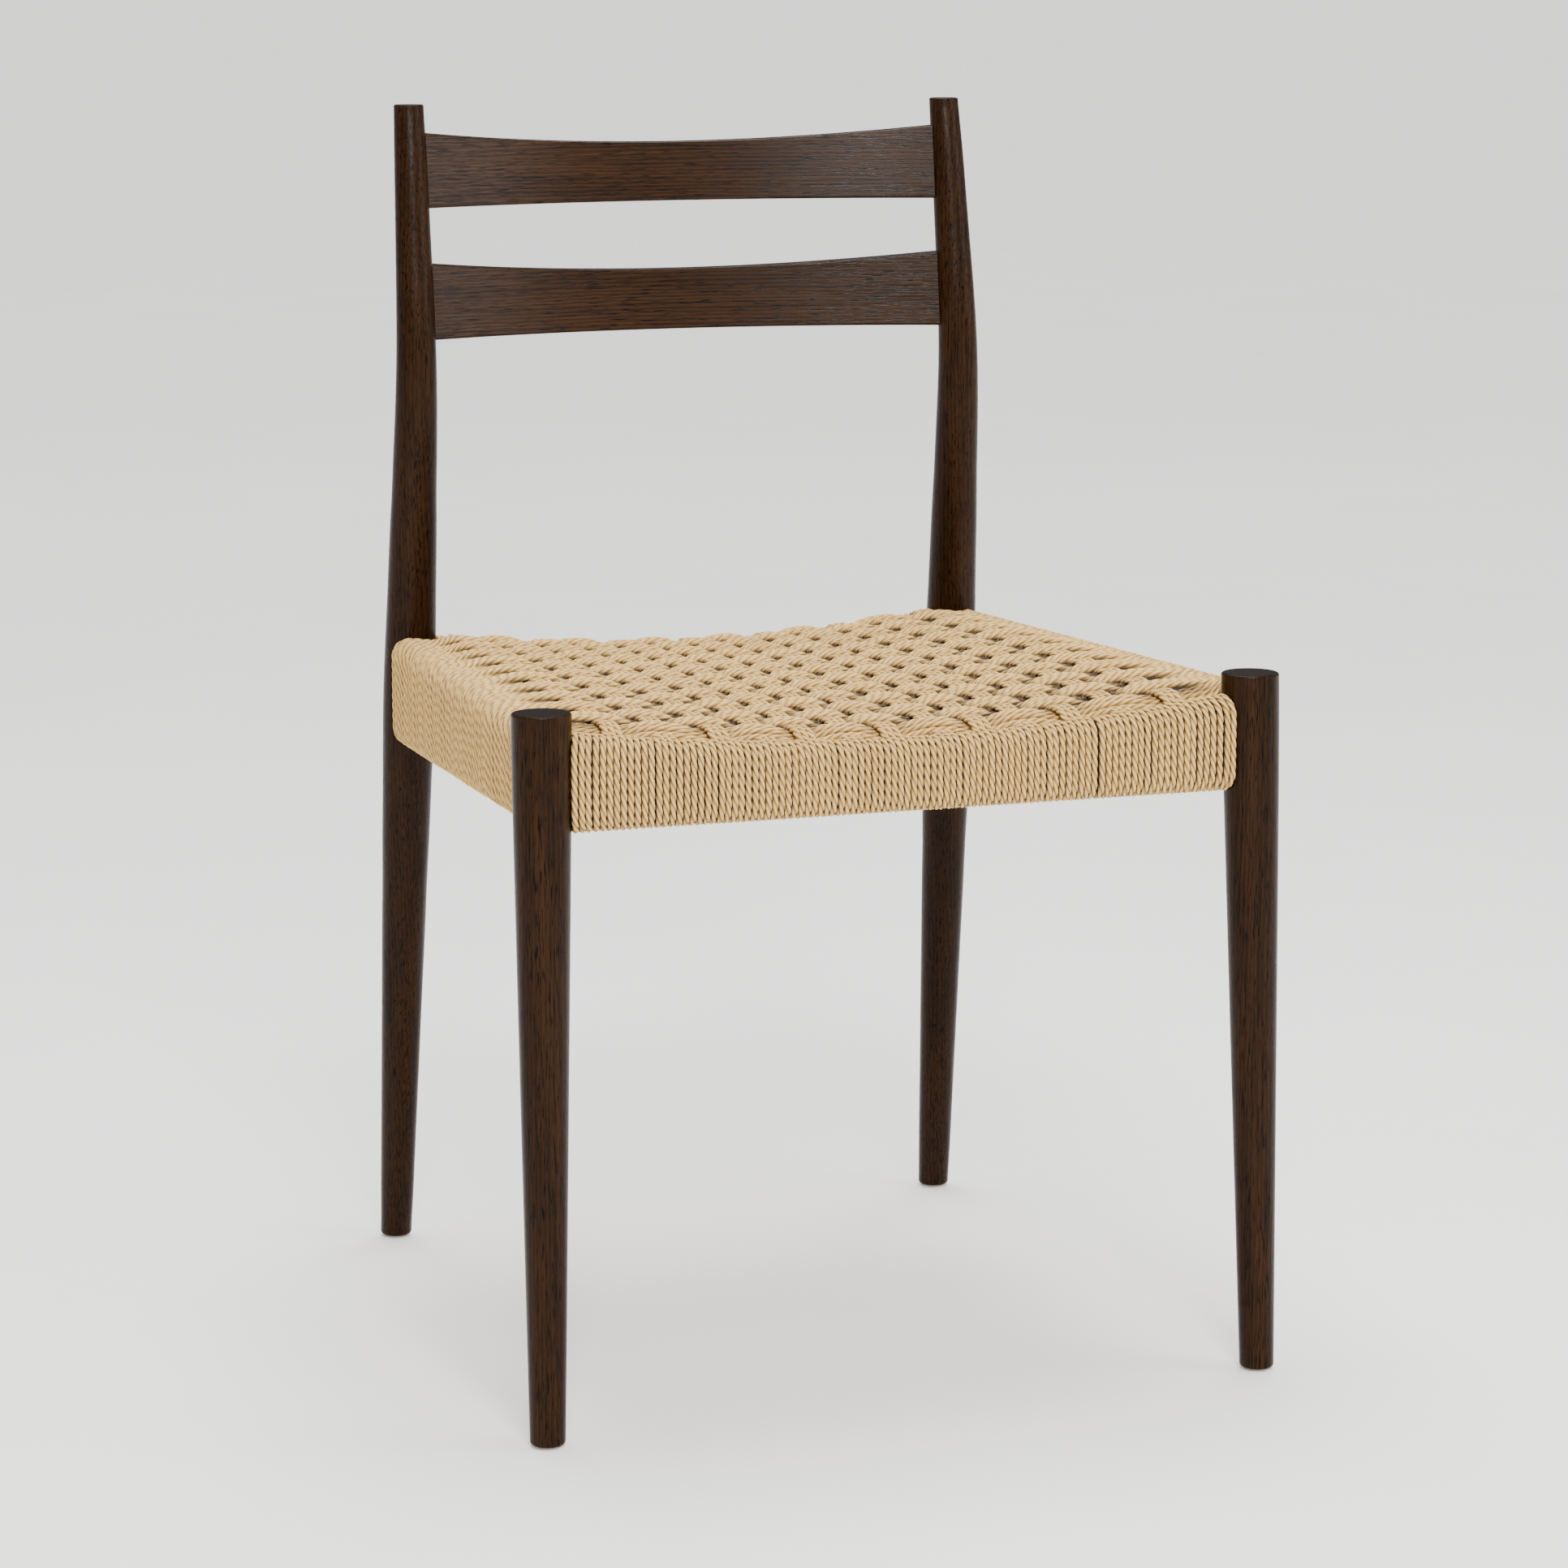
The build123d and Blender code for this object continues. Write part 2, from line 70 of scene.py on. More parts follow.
# Boards under the cord: heights at the start and end of each, and the hollow along the top
FRONT_TOP = (442.8, 442.8)
FRONT_BOTTOM = (387.0, 387.0)
FRONT_DIP = 18.3
BACK_TOP = (438.8, 438.8)
BACK_BOTTOM = (385.5, 385.5)
BACK_DIP = 15.8
SIDE_TOP = (444.2, 437.7)
SIDE_BOTTOM = (390.0, 370.5)

# Half the thickness of a board, the round of its edges, and the cord nails in its inner face
BOARD_HALF = 8.5
BOARD_EDGE = 6.0
NAIL_ABOVE_BOTTOM = 17.0
NAIL_RADIUS = 1.0

# The cord round the front board hangs a little slack. On every rail the turns this near a leg
# lean on its round, and each turn rounds the board's edges in a wide bend
FRONT_SLACK = 1.4
LEAN_REACH = 90.0
TURN_CORNER = 9.8

# Plain turns lie side by side from leg to leg, but for two slack places on the front rail
TURN_PITCH = 4.32
SLACK_GAP = 0.7
SLACK_PLACES = (126, 203)

# Warp: 13 groups of three cords from front to back. They are nailed more evenly than they lie
# on the front rail, a little crowded to the middle and drifting to the left there
WARP_FRONT = (-188, -153.5, -121.5, -91.5, -63, -33, -6, 26, 54, 85, 115, 149, 184)
WARP_NAIL_MIDDLE = -2.0
WARP_NAIL_SPREAD = 186.0
WARP_BACK_MIDDLE = 5.0
WARP_BACK_SPREAD = 172.0
WARP_CROWDING = 0.06
WARP_DRIFT = 5.0
WARP_LANES = (-1, 0, 1)
WARP_HOOK_ROOM = 1.0
WARP_MIDDLE_DROP = 4.0

# Weft: 21 rows of four cords, two loops one inside the other, from side to side
WEFT_ROWS = 21
WEFT_LANES = (-1.5, -0.5, 0.5, 1.5)
WEFT_NAIL_MARGIN = 27.0
WEFT_HOOK_NEST = 0.3
FIRST_ROW_Y = -209.5
LAST_ROW_Y = 197.0

# Pitch of a row's cords on the side rails, of the cords of rows and groups in the field, and
# how far a row's opens over a crossing and closes under it
SIDE_LANE = 4.6
LANE = 4.28
LANE_SPREAD = 0.12

# Middle of the weave: its height above the boards, its rise in the field and its further rise
# towards the sides
SHEET_ABOVE_BOARD = 4.0
SEAT_RISE = 6.8
SEAT_SHOULDER_RISE = 6.0

# How far rows and groups swing above and below that middle, how far they stay level on each
# side of a crossing, and how much the middle cords of a row swing beyond its outer ones
WEFT_SWING = 2.35
WARP_SWING = 1.6
CROSSING_LEVEL = 4.5
ROW_CROWN = 0.6

# The first row slumps forward and down on to the rail's inner shoulder, its cords lying wider
# apart and diving less under the warps, which ride higher over it
FIRST_ROW_SLUMP = 4.6
FIRST_ROW_SPREAD = 1.2
FIRST_ROW_FALL = 2.1
FIRST_ROW_DIVE = 0.6
FIRST_WARP_LIFT = 1.4

# Warps that cross over the last row keep lower, on their way on to the back rail
LAST_WARP_LIFT = 0.9

# A row leaves its place on the side rail for its line in the field within this distance. The
# last rows hold on to the rail's place a little longer, to pass in front of the post
EDGE_BLEND = 27.0
FIRST_EDGE_BLEND = 24.0
POST_HOLD = 8.8
POST_HOLD_ROWS = 6

# Usual size of the small irregularities: in the field, on the rails and, as shares, in the
# cord's lay and thickness
ROW_STRAY = 0.45
ROW_HEIGHT_STRAY = 0.14
GROUP_STRAY = 0.4
SWING_STRAY = 0.07
LANE_STRAY = 0.1
OVER_STRAY = 0.2
BULGE_STRAY = 0.15
TURN_STRAY = 0.13
SIDE_STRAY = 0.3
LAY_STRAY = 0.03
SWELL_STRAY = 0.012

# Points along a strand's run over the seat, round one corner of a board, down its inner face
# and round a nail
RUN_POINTS = 230
ARC_POINTS = 7
INSIDE_POINTS = 6
HOOK_POINTS = 9

# The last bend of a turn, in degrees, stops just short of the board's inner face, where the
# next turn begins
LAST_BEND = 172


def between(start, end, share):
    return start + (end - start) * share


def eased(share):
    """Share from 0 to 1 that starts and ends level."""
    share = np.clip(share, 0, 1)
    return share * share * (3 - 2 * share)


class SeatRail:
    """Board between two legs: u runs along it, w points out of the seat, v is the height."""

    def __init__(self, start, end, bottom, top, dip, slack=0.0):
        self.start = np.array(start, float)
        run = np.array(end, float) - self.start
        self.length = float(np.hypot(*run))
        self.along = run / self.length
        self.outward = np.array((self.along[1], -self.along[0]))
        self.bottom = bottom
        self.top = top
        self.dip = dip
        self.slack = slack

    def board_top(self, u):
        share = u / self.length
        return between(*self.top, share) - self.dip * (1 - (2 * share - 1) ** 2)

    def board_bottom(self, u):
        return self.bottom[0] + (self.bottom[1] - self.bottom[0]) * u / self.length

    def section(self, u, cord):
        """Half-width of a turn of cord, that of its level part, its top and its bottom."""
        half = BOARD_HALF + cord.radius
        high = self.board_top(u) + cord.radius
        low = self.board_bottom(u) - cord.radius - self.slack
        return half, half - TURN_CORNER, high, low

    def nail_height(self, u):
        return self.board_bottom(u) + NAIL_ABOVE_BOTTOM

    def place(self, u, w, v):
        x, y = self.start + self.along * u + self.outward * w
        return (x, y, v)

    def wrap_place(self, u, w, v, cord):
        """Place on a turn of cord: outside the board, the turns near a leg lean on its round."""
        touch = LEG_RADIUS + cord.radius
        lean = touch - np.sqrt(touch**2 - max(w, 0.0) ** 2)
        from_start = max(0.0, 1 - (u - touch) / LEAN_REACH)
        from_end = max(0.0, 1 - (self.length - touch - u) / LEAN_REACH)
        return self.place(u + lean * (from_end - from_start), w, v)


def mirrored(point):
    return (-point[0], point[1])


SIDE_BACK = (SIDE_BACK_X, BACK_CORNER[1])
RAILS = {
    "front": SeatRail(
        mirrored(FRONT_CORNER), FRONT_CORNER, FRONT_BOTTOM, FRONT_TOP, FRONT_DIP, FRONT_SLACK
    ),
    "right": SeatRail(FRONT_CORNER, SIDE_BACK, SIDE_BOTTOM, SIDE_TOP, 0),
    "back": SeatRail(BACK_CORNER, mirrored(BACK_CORNER), BACK_BOTTOM, BACK_TOP, BACK_DIP),
    "left": SeatRail(
        mirrored(SIDE_BACK), mirrored(FRONT_CORNER), SIDE_BOTTOM[::-1], SIDE_TOP[::-1], 0
    ),
}


# -------- settings a user would change


def length_setting(name, description, default, shortest, longest):
    return FloatProperty(
        name=name, description=description, default=default, min=shortest, max=longest,
        unit="LENGTH",
    )


def colour_setting(name, description, default):
    return FloatVectorProperty(
        name=name, description=description, default=default, min=0, max=1,
        subtype="COLOR_GAMMA",
    )


class CordSettings(bpy.types.PropertyGroup):
    """Size and colour of the paper cord."""

    diameter: length_setting(
        "Cord Diameter", "Thickness of the three-ply paper cord", 0.0044, 0.003, 0.0045
    )
    lay: length_setting(
        "Lay Length", "Length of cord in which a ply goes once round", 0.0205, 0.012, 0.06
    )
    step: length_setting(
        "Step", "Spacing of the cross-sections along the cord", 0.0025, 0.0018, 0.006
    )
    looseness: FloatProperty(
        name="Looseness", description="How far turns and rows stray from their even places",
        default=1.0, min=0.0, max=2.0,
    )
    seed: IntProperty(
        name="Seed", description="Chooses the pattern of small irregularities", default=11
    )
    colour: colour_setting(
        "Cord Colour", "Colour of the unbleached paper", (0.855, 0.70, 0.425)
    )


class WoodSettings(bpy.types.PropertyGroup):
    """Stain and lacquer of the wood."""

    dark: colour_setting(
        "Dark Grain", "Colour of the pores and late wood", (0.082, 0.043, 0.015)
    )
    light: colour_setting("Light Grain", "Colour of the early wood", (0.200, 0.120, 0.057))
    roughness: FloatProperty(
        name="Roughness", description="Satin of the lacquer", default=0.28, min=0.05, max=1.0,
        subtype="FACTOR",
    )


class ChairSettings(bpy.types.PropertyGroup):
    """All the settings of the chair."""

    cord: PointerProperty(type=CordSettings, name="Cord", description="Paper cord")
    wood: PointerProperty(type=WoodSettings, name="Wood", description="Stained wood")


# -------- cord: routes


def corner(w, v, start, end):
    """Bend of a turn round an edge of a board, about (w, v), from one angle to another."""
    turns = np.radians(np.linspace(start, end, ARC_POINTS))
    return [(w + TURN_CORNER * cos(turn), v + TURN_CORNER * sin(turn)) for turn in turns]


def spaced(points, lengths, count):
    """Evenly spaced points on a line, whose own points lie at these lengths along it."""
    places = np.linspace(0, lengths[-1], count + 1)
    return np.stack([np.interp(places, lengths, points[:, axis]) for axis in range(3)], axis=1)


def line_runs(points, closed):
    """The points of a line, with the first again at the end of a closed one, and their runs."""
    points = np.array(points, float)
    if closed:
        points = np.vstack((points, points[:1]))
    return points, np.linalg.norm(np.diff(points, axis=0), axis=1)


def summed(runs):
    return np.concatenate(([0], np.cumsum(runs)))


def smoothed(points, closed):
    """Points a millimetre apart, with the corners of a hand-wound cord eased."""
    spacing, reach, width = 1.0, 4, 1.5
    points, runs = line_runs(points, closed)
    apart = runs > 1e-6
    lengths = summed(runs[apart])
    points = points[np.concatenate(([True], apart))]
    even = spaced(points, lengths, max(8, int(round(lengths[-1] / spacing))))
    kernel = np.exp(-0.5 * (np.arange(-reach, reach + 1) / width) ** 2)
    kernel /= kernel.sum()
    if closed:
        even = even[:-1]
        padded = np.vstack((even[-reach:], even, even[:reach]))
    else:
        before = 2 * even[0] - even[reach:0:-1]
        after = 2 * even[-1] - even[-2 : -reach - 2 : -1]
        padded = np.vstack((before, even, after))
    return np.stack([np.convolve(padded[:, axis], kernel, "valid") for axis in range(3)], axis=1)


def resampled(points, step, closed):
    """The same line with its points a cord's step apart, and its length."""
    points, runs = line_runs(points, closed)
    lengths = summed(runs)
    return spaced(points, lengths, max(6, int(np.ceil(lengths[-1] / step)))), lengths[-1]


class Cord:
    """The paper cord in hand: its size, its twist and the small irregularities of the winding."""

    PLIES = 3
    RING = 12
    # One ply from groove to groove: the groove, a flank, the crown and the other flank
    SHAPE = (0.68, 0.93, 1.0, 0.93)
    # Shift of the paper's pattern from one strand to the next, in metres
    PATTERN_SHIFT = 0.731
    # A direction in which no strand starts
    ASIDE = (0.31, 0.52, 0.79)

    def __init__(self, settings):
        self.radius = settings.diameter / MM / 2
        self.lay = settings.lay / MM
        self.step = settings.step / MM
        self.loose = settings.looseness
        self.chance = np.random.default_rng(settings.seed)
        self.used = 0

    def stray(self, size, count=None):
        """Small irregularity of a hand-wound turn, never more than twice its usual size."""
        drawn = self.chance.normal(0, 1, count)
        return np.clip(drawn, -2, 2) * size * self.loose

    def lay_strand(self, route, closed=False):
        """Rings of the twisted cord along a route, with the cord's length at each of them.

        The rings are carried along without turning and then twisted by the lay; a closed strand
        takes the nearest whole number of plies, so that its ends meet."""
        line, length = resampled(smoothed(route, closed), self.step, closed)
        count = len(line)
        tangents = np.gradient(line, axis=0)
        if closed:
            tangents[0] = tangents[-1] = line[1] - line[-2]
        tangents /= np.linalg.norm(tangents, axis=1)[:, None]
        first = np.cross(tangents[0], self.ASIDE)
        carried = first / np.linalg.norm(first)
        normals = np.empty_like(line)
        for index in range(count):
            tangent = tangents[index]
            carried = carried - tangent * carried.dot(tangent)
            carried = carried / np.sqrt(carried.dot(carried))
            normals[index] = carried
        binormals = np.cross(tangents, normals)
        lay = self.lay * (1 + self.stray(LAY_STRAY))
        twist = -2 * pi * length / lay
        if closed:
            end = normals[-1]
            turned = np.arctan2(end.dot(binormals[0]), end.dot(normals[0]))
            ply = 2 * pi / self.PLIES
            twist = round((twist + turned) / ply) * ply - turned
        share = np.linspace(0, 1, count)
        turn = self.chance.uniform(0, 2 * pi) + twist * share
        ring = np.arange(self.RING) * 2 * pi / self.RING
        angles = turn[:, None] + ring[None, :]
        shape = np.tile(self.SHAPE, self.PLIES)
        swell = 1 + self.stray(SWELL_STRAY)
        reach = self.radius * swell * shape[None, :, None]
        rings = line[:, None, :] + reach * (
            np.cos(angles)[:, :, None] * normals[:, None, :]
            + np.sin(angles)[:, :, None] * binormals[:, None, :]
        )
        self.used += 1
        return rings, share * length * MM + self.used * self.PATTERN_SHIFT


def over_rail(rail, cord, u_top, u_end, end_height):
    """Route from the inner edge of a rail's top, over and round the board to a height inside.

    The cord keeps its place u_top along the rail on the outside and drifts to u_end inside."""
    half, flat, high, low = rail.section(u_top, cord)
    upper, lower = high - TURN_CORNER, low + TURN_CORNER
    lift = cord.stray(OVER_STRAY)
    outside = [(-flat, high), (0, high)] + corner(flat, upper, 90, 0)
    outside += [(half, v) for v in np.linspace(upper, lower, 5)[1:-1]]
    outside += corner(flat, lower, 0, -90)
    inside = corner(-flat, lower, -90, -180)
    inside += [(-half, v) for v in np.linspace(lower, end_height, 3)[1:]]
    route = [rail.wrap_place(u_top, w + lift * max(0.0, w) / half, v, cord) for w, v in outside]
    for index, (w, v) in enumerate(inside):
        share = (index + 1) / len(inside)
        route.append(rail.place(between(u_top, u_end, share), w, v))
    return route


def nail_hook(rail, cord, u_nail, reach, height):
    """Half-turn of cord over a nail, lying on the board's inner face."""
    half = BOARD_HALF + cord.radius
    return [
        rail.place(u_nail + reach * cos(turn), -half, height + abs(reach) * sin(turn))
        for turn in np.radians(np.linspace(0, 180, HOOK_POINTS))
    ]


def wound_turns(rail, cord, places):
    """Turns of cord wound round a rail at places along it, as one strand.

    Each turn moves on to its place down the inner face and keeps it on the other three."""
    route = []
    previous = places[0]
    for place in places:
        half, flat, high, low = rail.section(place, cord)
        upper, lower = high - TURN_CORNER, low + TURN_CORNER
        bulge = cord.stray(BULGE_STRAY)
        route += [
            rail.place(between(previous, place, index / (INSIDE_POINTS - 1)), -half, v)
            for index, v in enumerate(np.linspace(upper, lower, INSIDE_POINTS))
        ]
        loop = corner(-flat, lower, 180, 270) + corner(flat, lower, 270, 360)
        loop += [(half + bulge, between(low, high, share)) for share in (0.3, 0.5, 0.7)]
        loop += corner(flat, upper, 0, 90) + corner(-flat, upper, 90, LAST_BEND)
        route += [rail.wrap_place(place, w, v, cord) for w, v in loop]
        previous = place
    return route


# -------- the woven field


def crowded(index, count):
    """Share of the half-span at which a group is nailed, and its share of the drift there."""
    half = count // 2
    share = (index - half) / half
    return share * (1 - WARP_CROWDING) + share**3 * WARP_CROWDING, 1 - share**2


def field_share(y):
    """Share of the way from the front rail's line to the back rail's, and the half-width there."""
    share = (y - FRONT_CORNER[1]) / SEAT_DEPTH
    return share, between(FRONT_CORNER[0], SIDE_BACK_X, share)


def seat_height(x, y):
    """Height of the middle of the weave: a sheet stretched from rail to rail, risen in the field.

    Each rail carries the sheet at the middle of the cord that lies on it; where two rails meet
    at different heights, the sheet takes their mean."""
    share, half_width = field_share(y)
    bend = (x / half_width) ** 2
    front_corner = (FRONT_TOP[0] + SIDE_TOP[0]) / 2
    back_corner = (BACK_TOP[0] + SIDE_TOP[1]) / 2
    front = front_corner - FRONT_DIP * (1 - bend)
    back = back_corner - BACK_DIP * (1 - bend)
    sheet = between(front, back, share)
    rise = (SEAT_RISE + SEAT_SHOULDER_RISE * bend) * 4 * share * (1 - share) * (1 - bend)
    return sheet + rise + SHEET_ABOVE_BOARD


def turn_places(rail, leg_radius, cord, wished, slack_places=()):
    """Places of the cords that lie side by side along a rail, from leg to leg.

    Each wished group takes the three places nearest to it; the rest are for plain turns.
    Gives the places of the groups' middle strands and the runs of plain turns."""
    first = leg_radius + cord.radius
    run = rail.length - 2 * first - SLACK_GAP * len(slack_places)
    count = int(round(run / TURN_PITCH)) + 1
    places = first + np.linspace(0, run, count)
    for slack in slack_places:
        places[places > slack] += SLACK_GAP
    taken = [int(np.abs(places - wish).argmin()) for wish in wished]
    edges = [-2] + taken + [count + 1]
    plain = [places[start + 2 : end - 1] for start, end in zip(edges[:-1], edges[1:])]
    return places[taken], plain


class Weave:
    """Places of the warp groups and weft rows, with the unevenness of handwork."""

    def __init__(self, cord):
        groups = len(WARP_FRONT)
        front, back = RAILS["front"], RAILS["back"]
        share, arch = np.array([crowded(index, groups) for index in range(groups)]).T
        self.front_nail = WARP_NAIL_MIDDLE + WARP_NAIL_SPREAD * share - WARP_DRIFT * arch
        self.back_nail = WARP_BACK_MIDDLE + WARP_BACK_SPREAD * share - WARP_DRIFT * arch
        taken, self.front_plain = turn_places(
            front, LEG_RADIUS, cord, np.array(WARP_FRONT) - front.start[0],
            np.array(SLACK_PLACES) - front.start[0],
        )
        self.front = taken + front.start[0]
        taken, self.back_plain = turn_places(
            back, POST_RADIUS, cord, back.start[0] - self.back_nail[::-1]
        )
        self.back = (back.start[0] - taken)[::-1]
        self.rows = np.linspace(FIRST_ROW_Y, LAST_ROW_Y, WEFT_ROWS)
        self.rows[0] -= FIRST_ROW_SLUMP
        self.row_stray = cord.stray(ROW_STRAY, (WEFT_ROWS, groups))
        self.height_stray = cord.stray(ROW_HEIGHT_STRAY, (WEFT_ROWS, groups))
        self.group_stray = cord.stray(GROUP_STRAY, (groups, WEFT_ROWS))

    def group_x(self, group, y):
        return between(self.front[group], self.back[group], field_share(y)[0])

    def warp_is_over(self, group, row):
        return (group + row) % 2 == 0


def swung(place, knots, values):
    """Smooth line through the values at the knots, level for a little way at each inner knot."""
    result = np.empty_like(place)
    for index in range(len(knots) - 1):
        start, end = knots[index], knots[index + 1]
        level_start = CROSSING_LEVEL if index > 0 else 0
        level_end = CROSSING_LEVEL if index < len(knots) - 2 else 0
        inside = (place >= start) & (place <= end)
        run = end - start - level_start - level_end
        share = eased((place[inside] - start - level_start) / run)
        result[inside] = between(values[index], values[index + 1], share)
    return result


def weft_run(weave, cord, row, lane, left, right):
    """Route of one strand of a row from the left rail's top to the right rail's."""
    first = row == 0
    x = np.linspace(left[0], right[0], RUN_POINTS)
    row_y = weave.rows[row]
    groups = np.arange(len(weave.front))
    crossings = np.array([weave.group_x(group, row_y) for group in groups])
    sign = np.array([-1.0 if weave.warp_is_over(group, row) else 1.0 for group in groups])
    swings = sign * WEFT_SWING + weave.height_stray[row] + cord.stray(SWING_STRAY, len(groups))
    if first:
        swings = np.where(sign < 0, swings * FIRST_ROW_DIVE, swings)
    knots = np.concatenate(([left[0]], crossings, [right[0]]))
    ends = [end[2] - seat_height(end[0], end[1]) for end in (left, right)]
    offset = swung(x, knots, np.concatenate((ends[:1], swings, ends[1:])))
    strays = weave.row_stray[row] + cord.stray(LANE_STRAY, len(groups))
    stray = np.interp(x, knots, np.concatenate(([0], strays, [0])))
    spread = np.interp(x, knots, np.concatenate(([0], sign, [0]))) * LANE_SPREAD
    pitch = LANE * (FIRST_ROW_SPREAD if first else 1.0) + spread
    middle = row_y + lane * pitch + stray
    blend = FIRST_EDGE_BLEND if first else EDGE_BLEND
    hold = POST_HOLD * max(0.0, 1 - (WEFT_ROWS - 1 - row) / POST_HOLD_ROWS)
    from_left = eased((x - left[0] - hold) / blend)
    from_right = eased((right[0] - x - hold) / blend)
    y = middle + (left[1] - middle) * (1 - from_left) + (right[1] - middle) * (1 - from_right)
    crown = offset / WEFT_SWING * ROW_CROWN * (1 - (lane / WEFT_LANES[-1]) ** 2)
    fall = FIRST_ROW_FALL * max(0.0, -lane) if first else 0.0
    z = seat_height(x, y) + offset + (crown - fall) * from_left * from_right
    return list(zip(x, y, z))


def warp_run(weave, cord, group, lane, front, back):
    """Route of one strand of a group from the front rail's top to the back rail's."""
    y = np.linspace(front[1], back[1], RUN_POINTS)
    rows = range(WEFT_ROWS)
    sign = np.array([1.0 if weave.warp_is_over(group, row) else -1.0 for row in rows])
    swings = sign * WARP_SWING + cord.stray(SWING_STRAY, WEFT_ROWS)
    swings[0] *= FIRST_WARP_LIFT if sign[0] > 0 else 1.0
    swings[-1] *= LAST_WARP_LIFT if sign[-1] > 0 else 1.0
    knots = np.concatenate(([front[1]], weave.rows, [back[1]]))
    ends = [end[2] - seat_height(end[0], end[1]) for end in (front, back)]
    offset = swung(y, knots, np.concatenate((ends[:1], swings, ends[1:])))
    stray = np.interp(y, knots, np.concatenate(([0], weave.group_stray[group], [0])))
    share = (y - front[1]) / (back[1] - front[1])
    x = between(front[0], back[0], share) + stray
    z = seat_height(x, y) + offset
    return list(zip(x, y, z))


# -------- cord: meshes


def painted_shade_on_rail(rail, rings, radius):
    """Painted shade on wound cord: how far each point is turned away from the open, from 0 to 1.

    A point is open where it looks straight out from the board, and sheltered where it looks
    along it, at the next turn, or back at it; the cord is painted darker where it is sheltered."""
    centres = rings.mean(axis=1)
    plan = centres[:, :2] - rail.start
    u, w, v = plan @ rail.along, plan @ rail.outward, centres[:, 2]
    core = BOARD_HALF - BOARD_EDGE
    out_w = w - np.clip(w, -core, core)
    out_v = v - np.clip(v, rail.board_bottom(u) + BOARD_EDGE, rail.board_top(u) - BOARD_EDGE)
    reach = np.hypot(out_w, out_v)
    spokes = rings - centres[:, None, :]
    across = spokes[:, :, :2] @ rail.outward
    facing = (across * out_w[:, None] + spokes[:, :, 2] * out_v[:, None]) / reach[:, None]
    darkest, shut, opening = 0.88, 0.05, 0.62
    return darkest * (1 - eased((facing / radius - shut) / opening))


def painted_shade_in_weave(rings, radius):
    """The same painted shade for woven cord, which shelters whatever lies below its upper faces.

    From below, only the faces that look down are open. Near the rails nothing is sheltered,
    because there the strands lie side by side in one layer."""
    centres = rings.mean(axis=1)
    level = seat_height(centres[:, 0], centres[:, 1])[:, None]
    height = (rings[:, :, 2] - level) / radius
    rise = (rings[:, :, 2] - centres[:, None, 2]) / radius
    open_height, edge, fade = 1.1, 10, 22
    open_above = eased(height / open_height)
    looks_down = eased((-0.1 - rise) / 0.5)
    open_below = eased(-height / open_height) * looks_down
    share, half_width = field_share(centres[:, 1])
    from_sides = half_width - np.abs(centres[:, 0])
    from_ends = (0.5 - np.abs(share - 0.5)) * SEAT_DEPTH
    inland = eased((np.minimum(from_sides, from_ends) - edge) / fade)[:, None]
    return inland * (1 - np.clip(open_above + open_below, 0, 1))


class Winding:
    """Strands laid with one cord, gathered by the piece they belong to."""

    def __init__(self, cord):
        self.cord = cord
        self.strands = {}

    def add(self, piece, rings, lengths):
        side = piece.split("_")[0]
        # Painted shade: how much each point of the strand is darkened
        if side in RAILS:
            painted_shade = painted_shade_on_rail(RAILS[side], rings, self.cord.radius)
        else:
            painted_shade = painted_shade_in_weave(rings, self.cord.radius)
        self.strands.setdefault(piece, []).append((rings, lengths, painted_shade))

    def lay(self, parts, closed=False):
        """Lays one strand through parts given as (piece, route), and shares it between them."""
        route, owners = [], []
        for piece, points in parts:
            route += points
            owners += [piece] * len(points)
        rings, lengths = self.cord.lay_strand(route, closed)
        # A ring belongs to the piece whose part of the route it lies on
        along = summed(line_runs(route, closed)[1])
        places = np.linspace(0, along[-1], len(rings))
        found = np.clip(np.searchsorted(along, places, side="right") - 1, 0, len(owners) - 1)
        owners = [owners[index] for index in found]
        changes = [0] + [i for i in range(1, len(owners)) if owners[i] != owners[i - 1]]
        changes.append(len(owners) - 1)
        for start, end in zip(changes[:-1], changes[1:]):
            if end > start:
                self.add(owners[start], rings[start : end + 1], lengths[start : end + 1])

    def lay_loop(self, field, here, there, first, second, hook_here, hook_there):
        """Lays a closed strand over the seat, round a nail there, back and round a nail here.

        The first and second crossing are given from here to there, each as its routes over
        this rail, over the field and over that rail."""
        self.lay(
            [
                (field, first[1]),
                (there, first[2] + hook_there + second[2][::-1]),
                (field, second[1][::-1]),
                (here, second[0] + hook_here + first[0][::-1]),
            ],
            closed=True,
        )


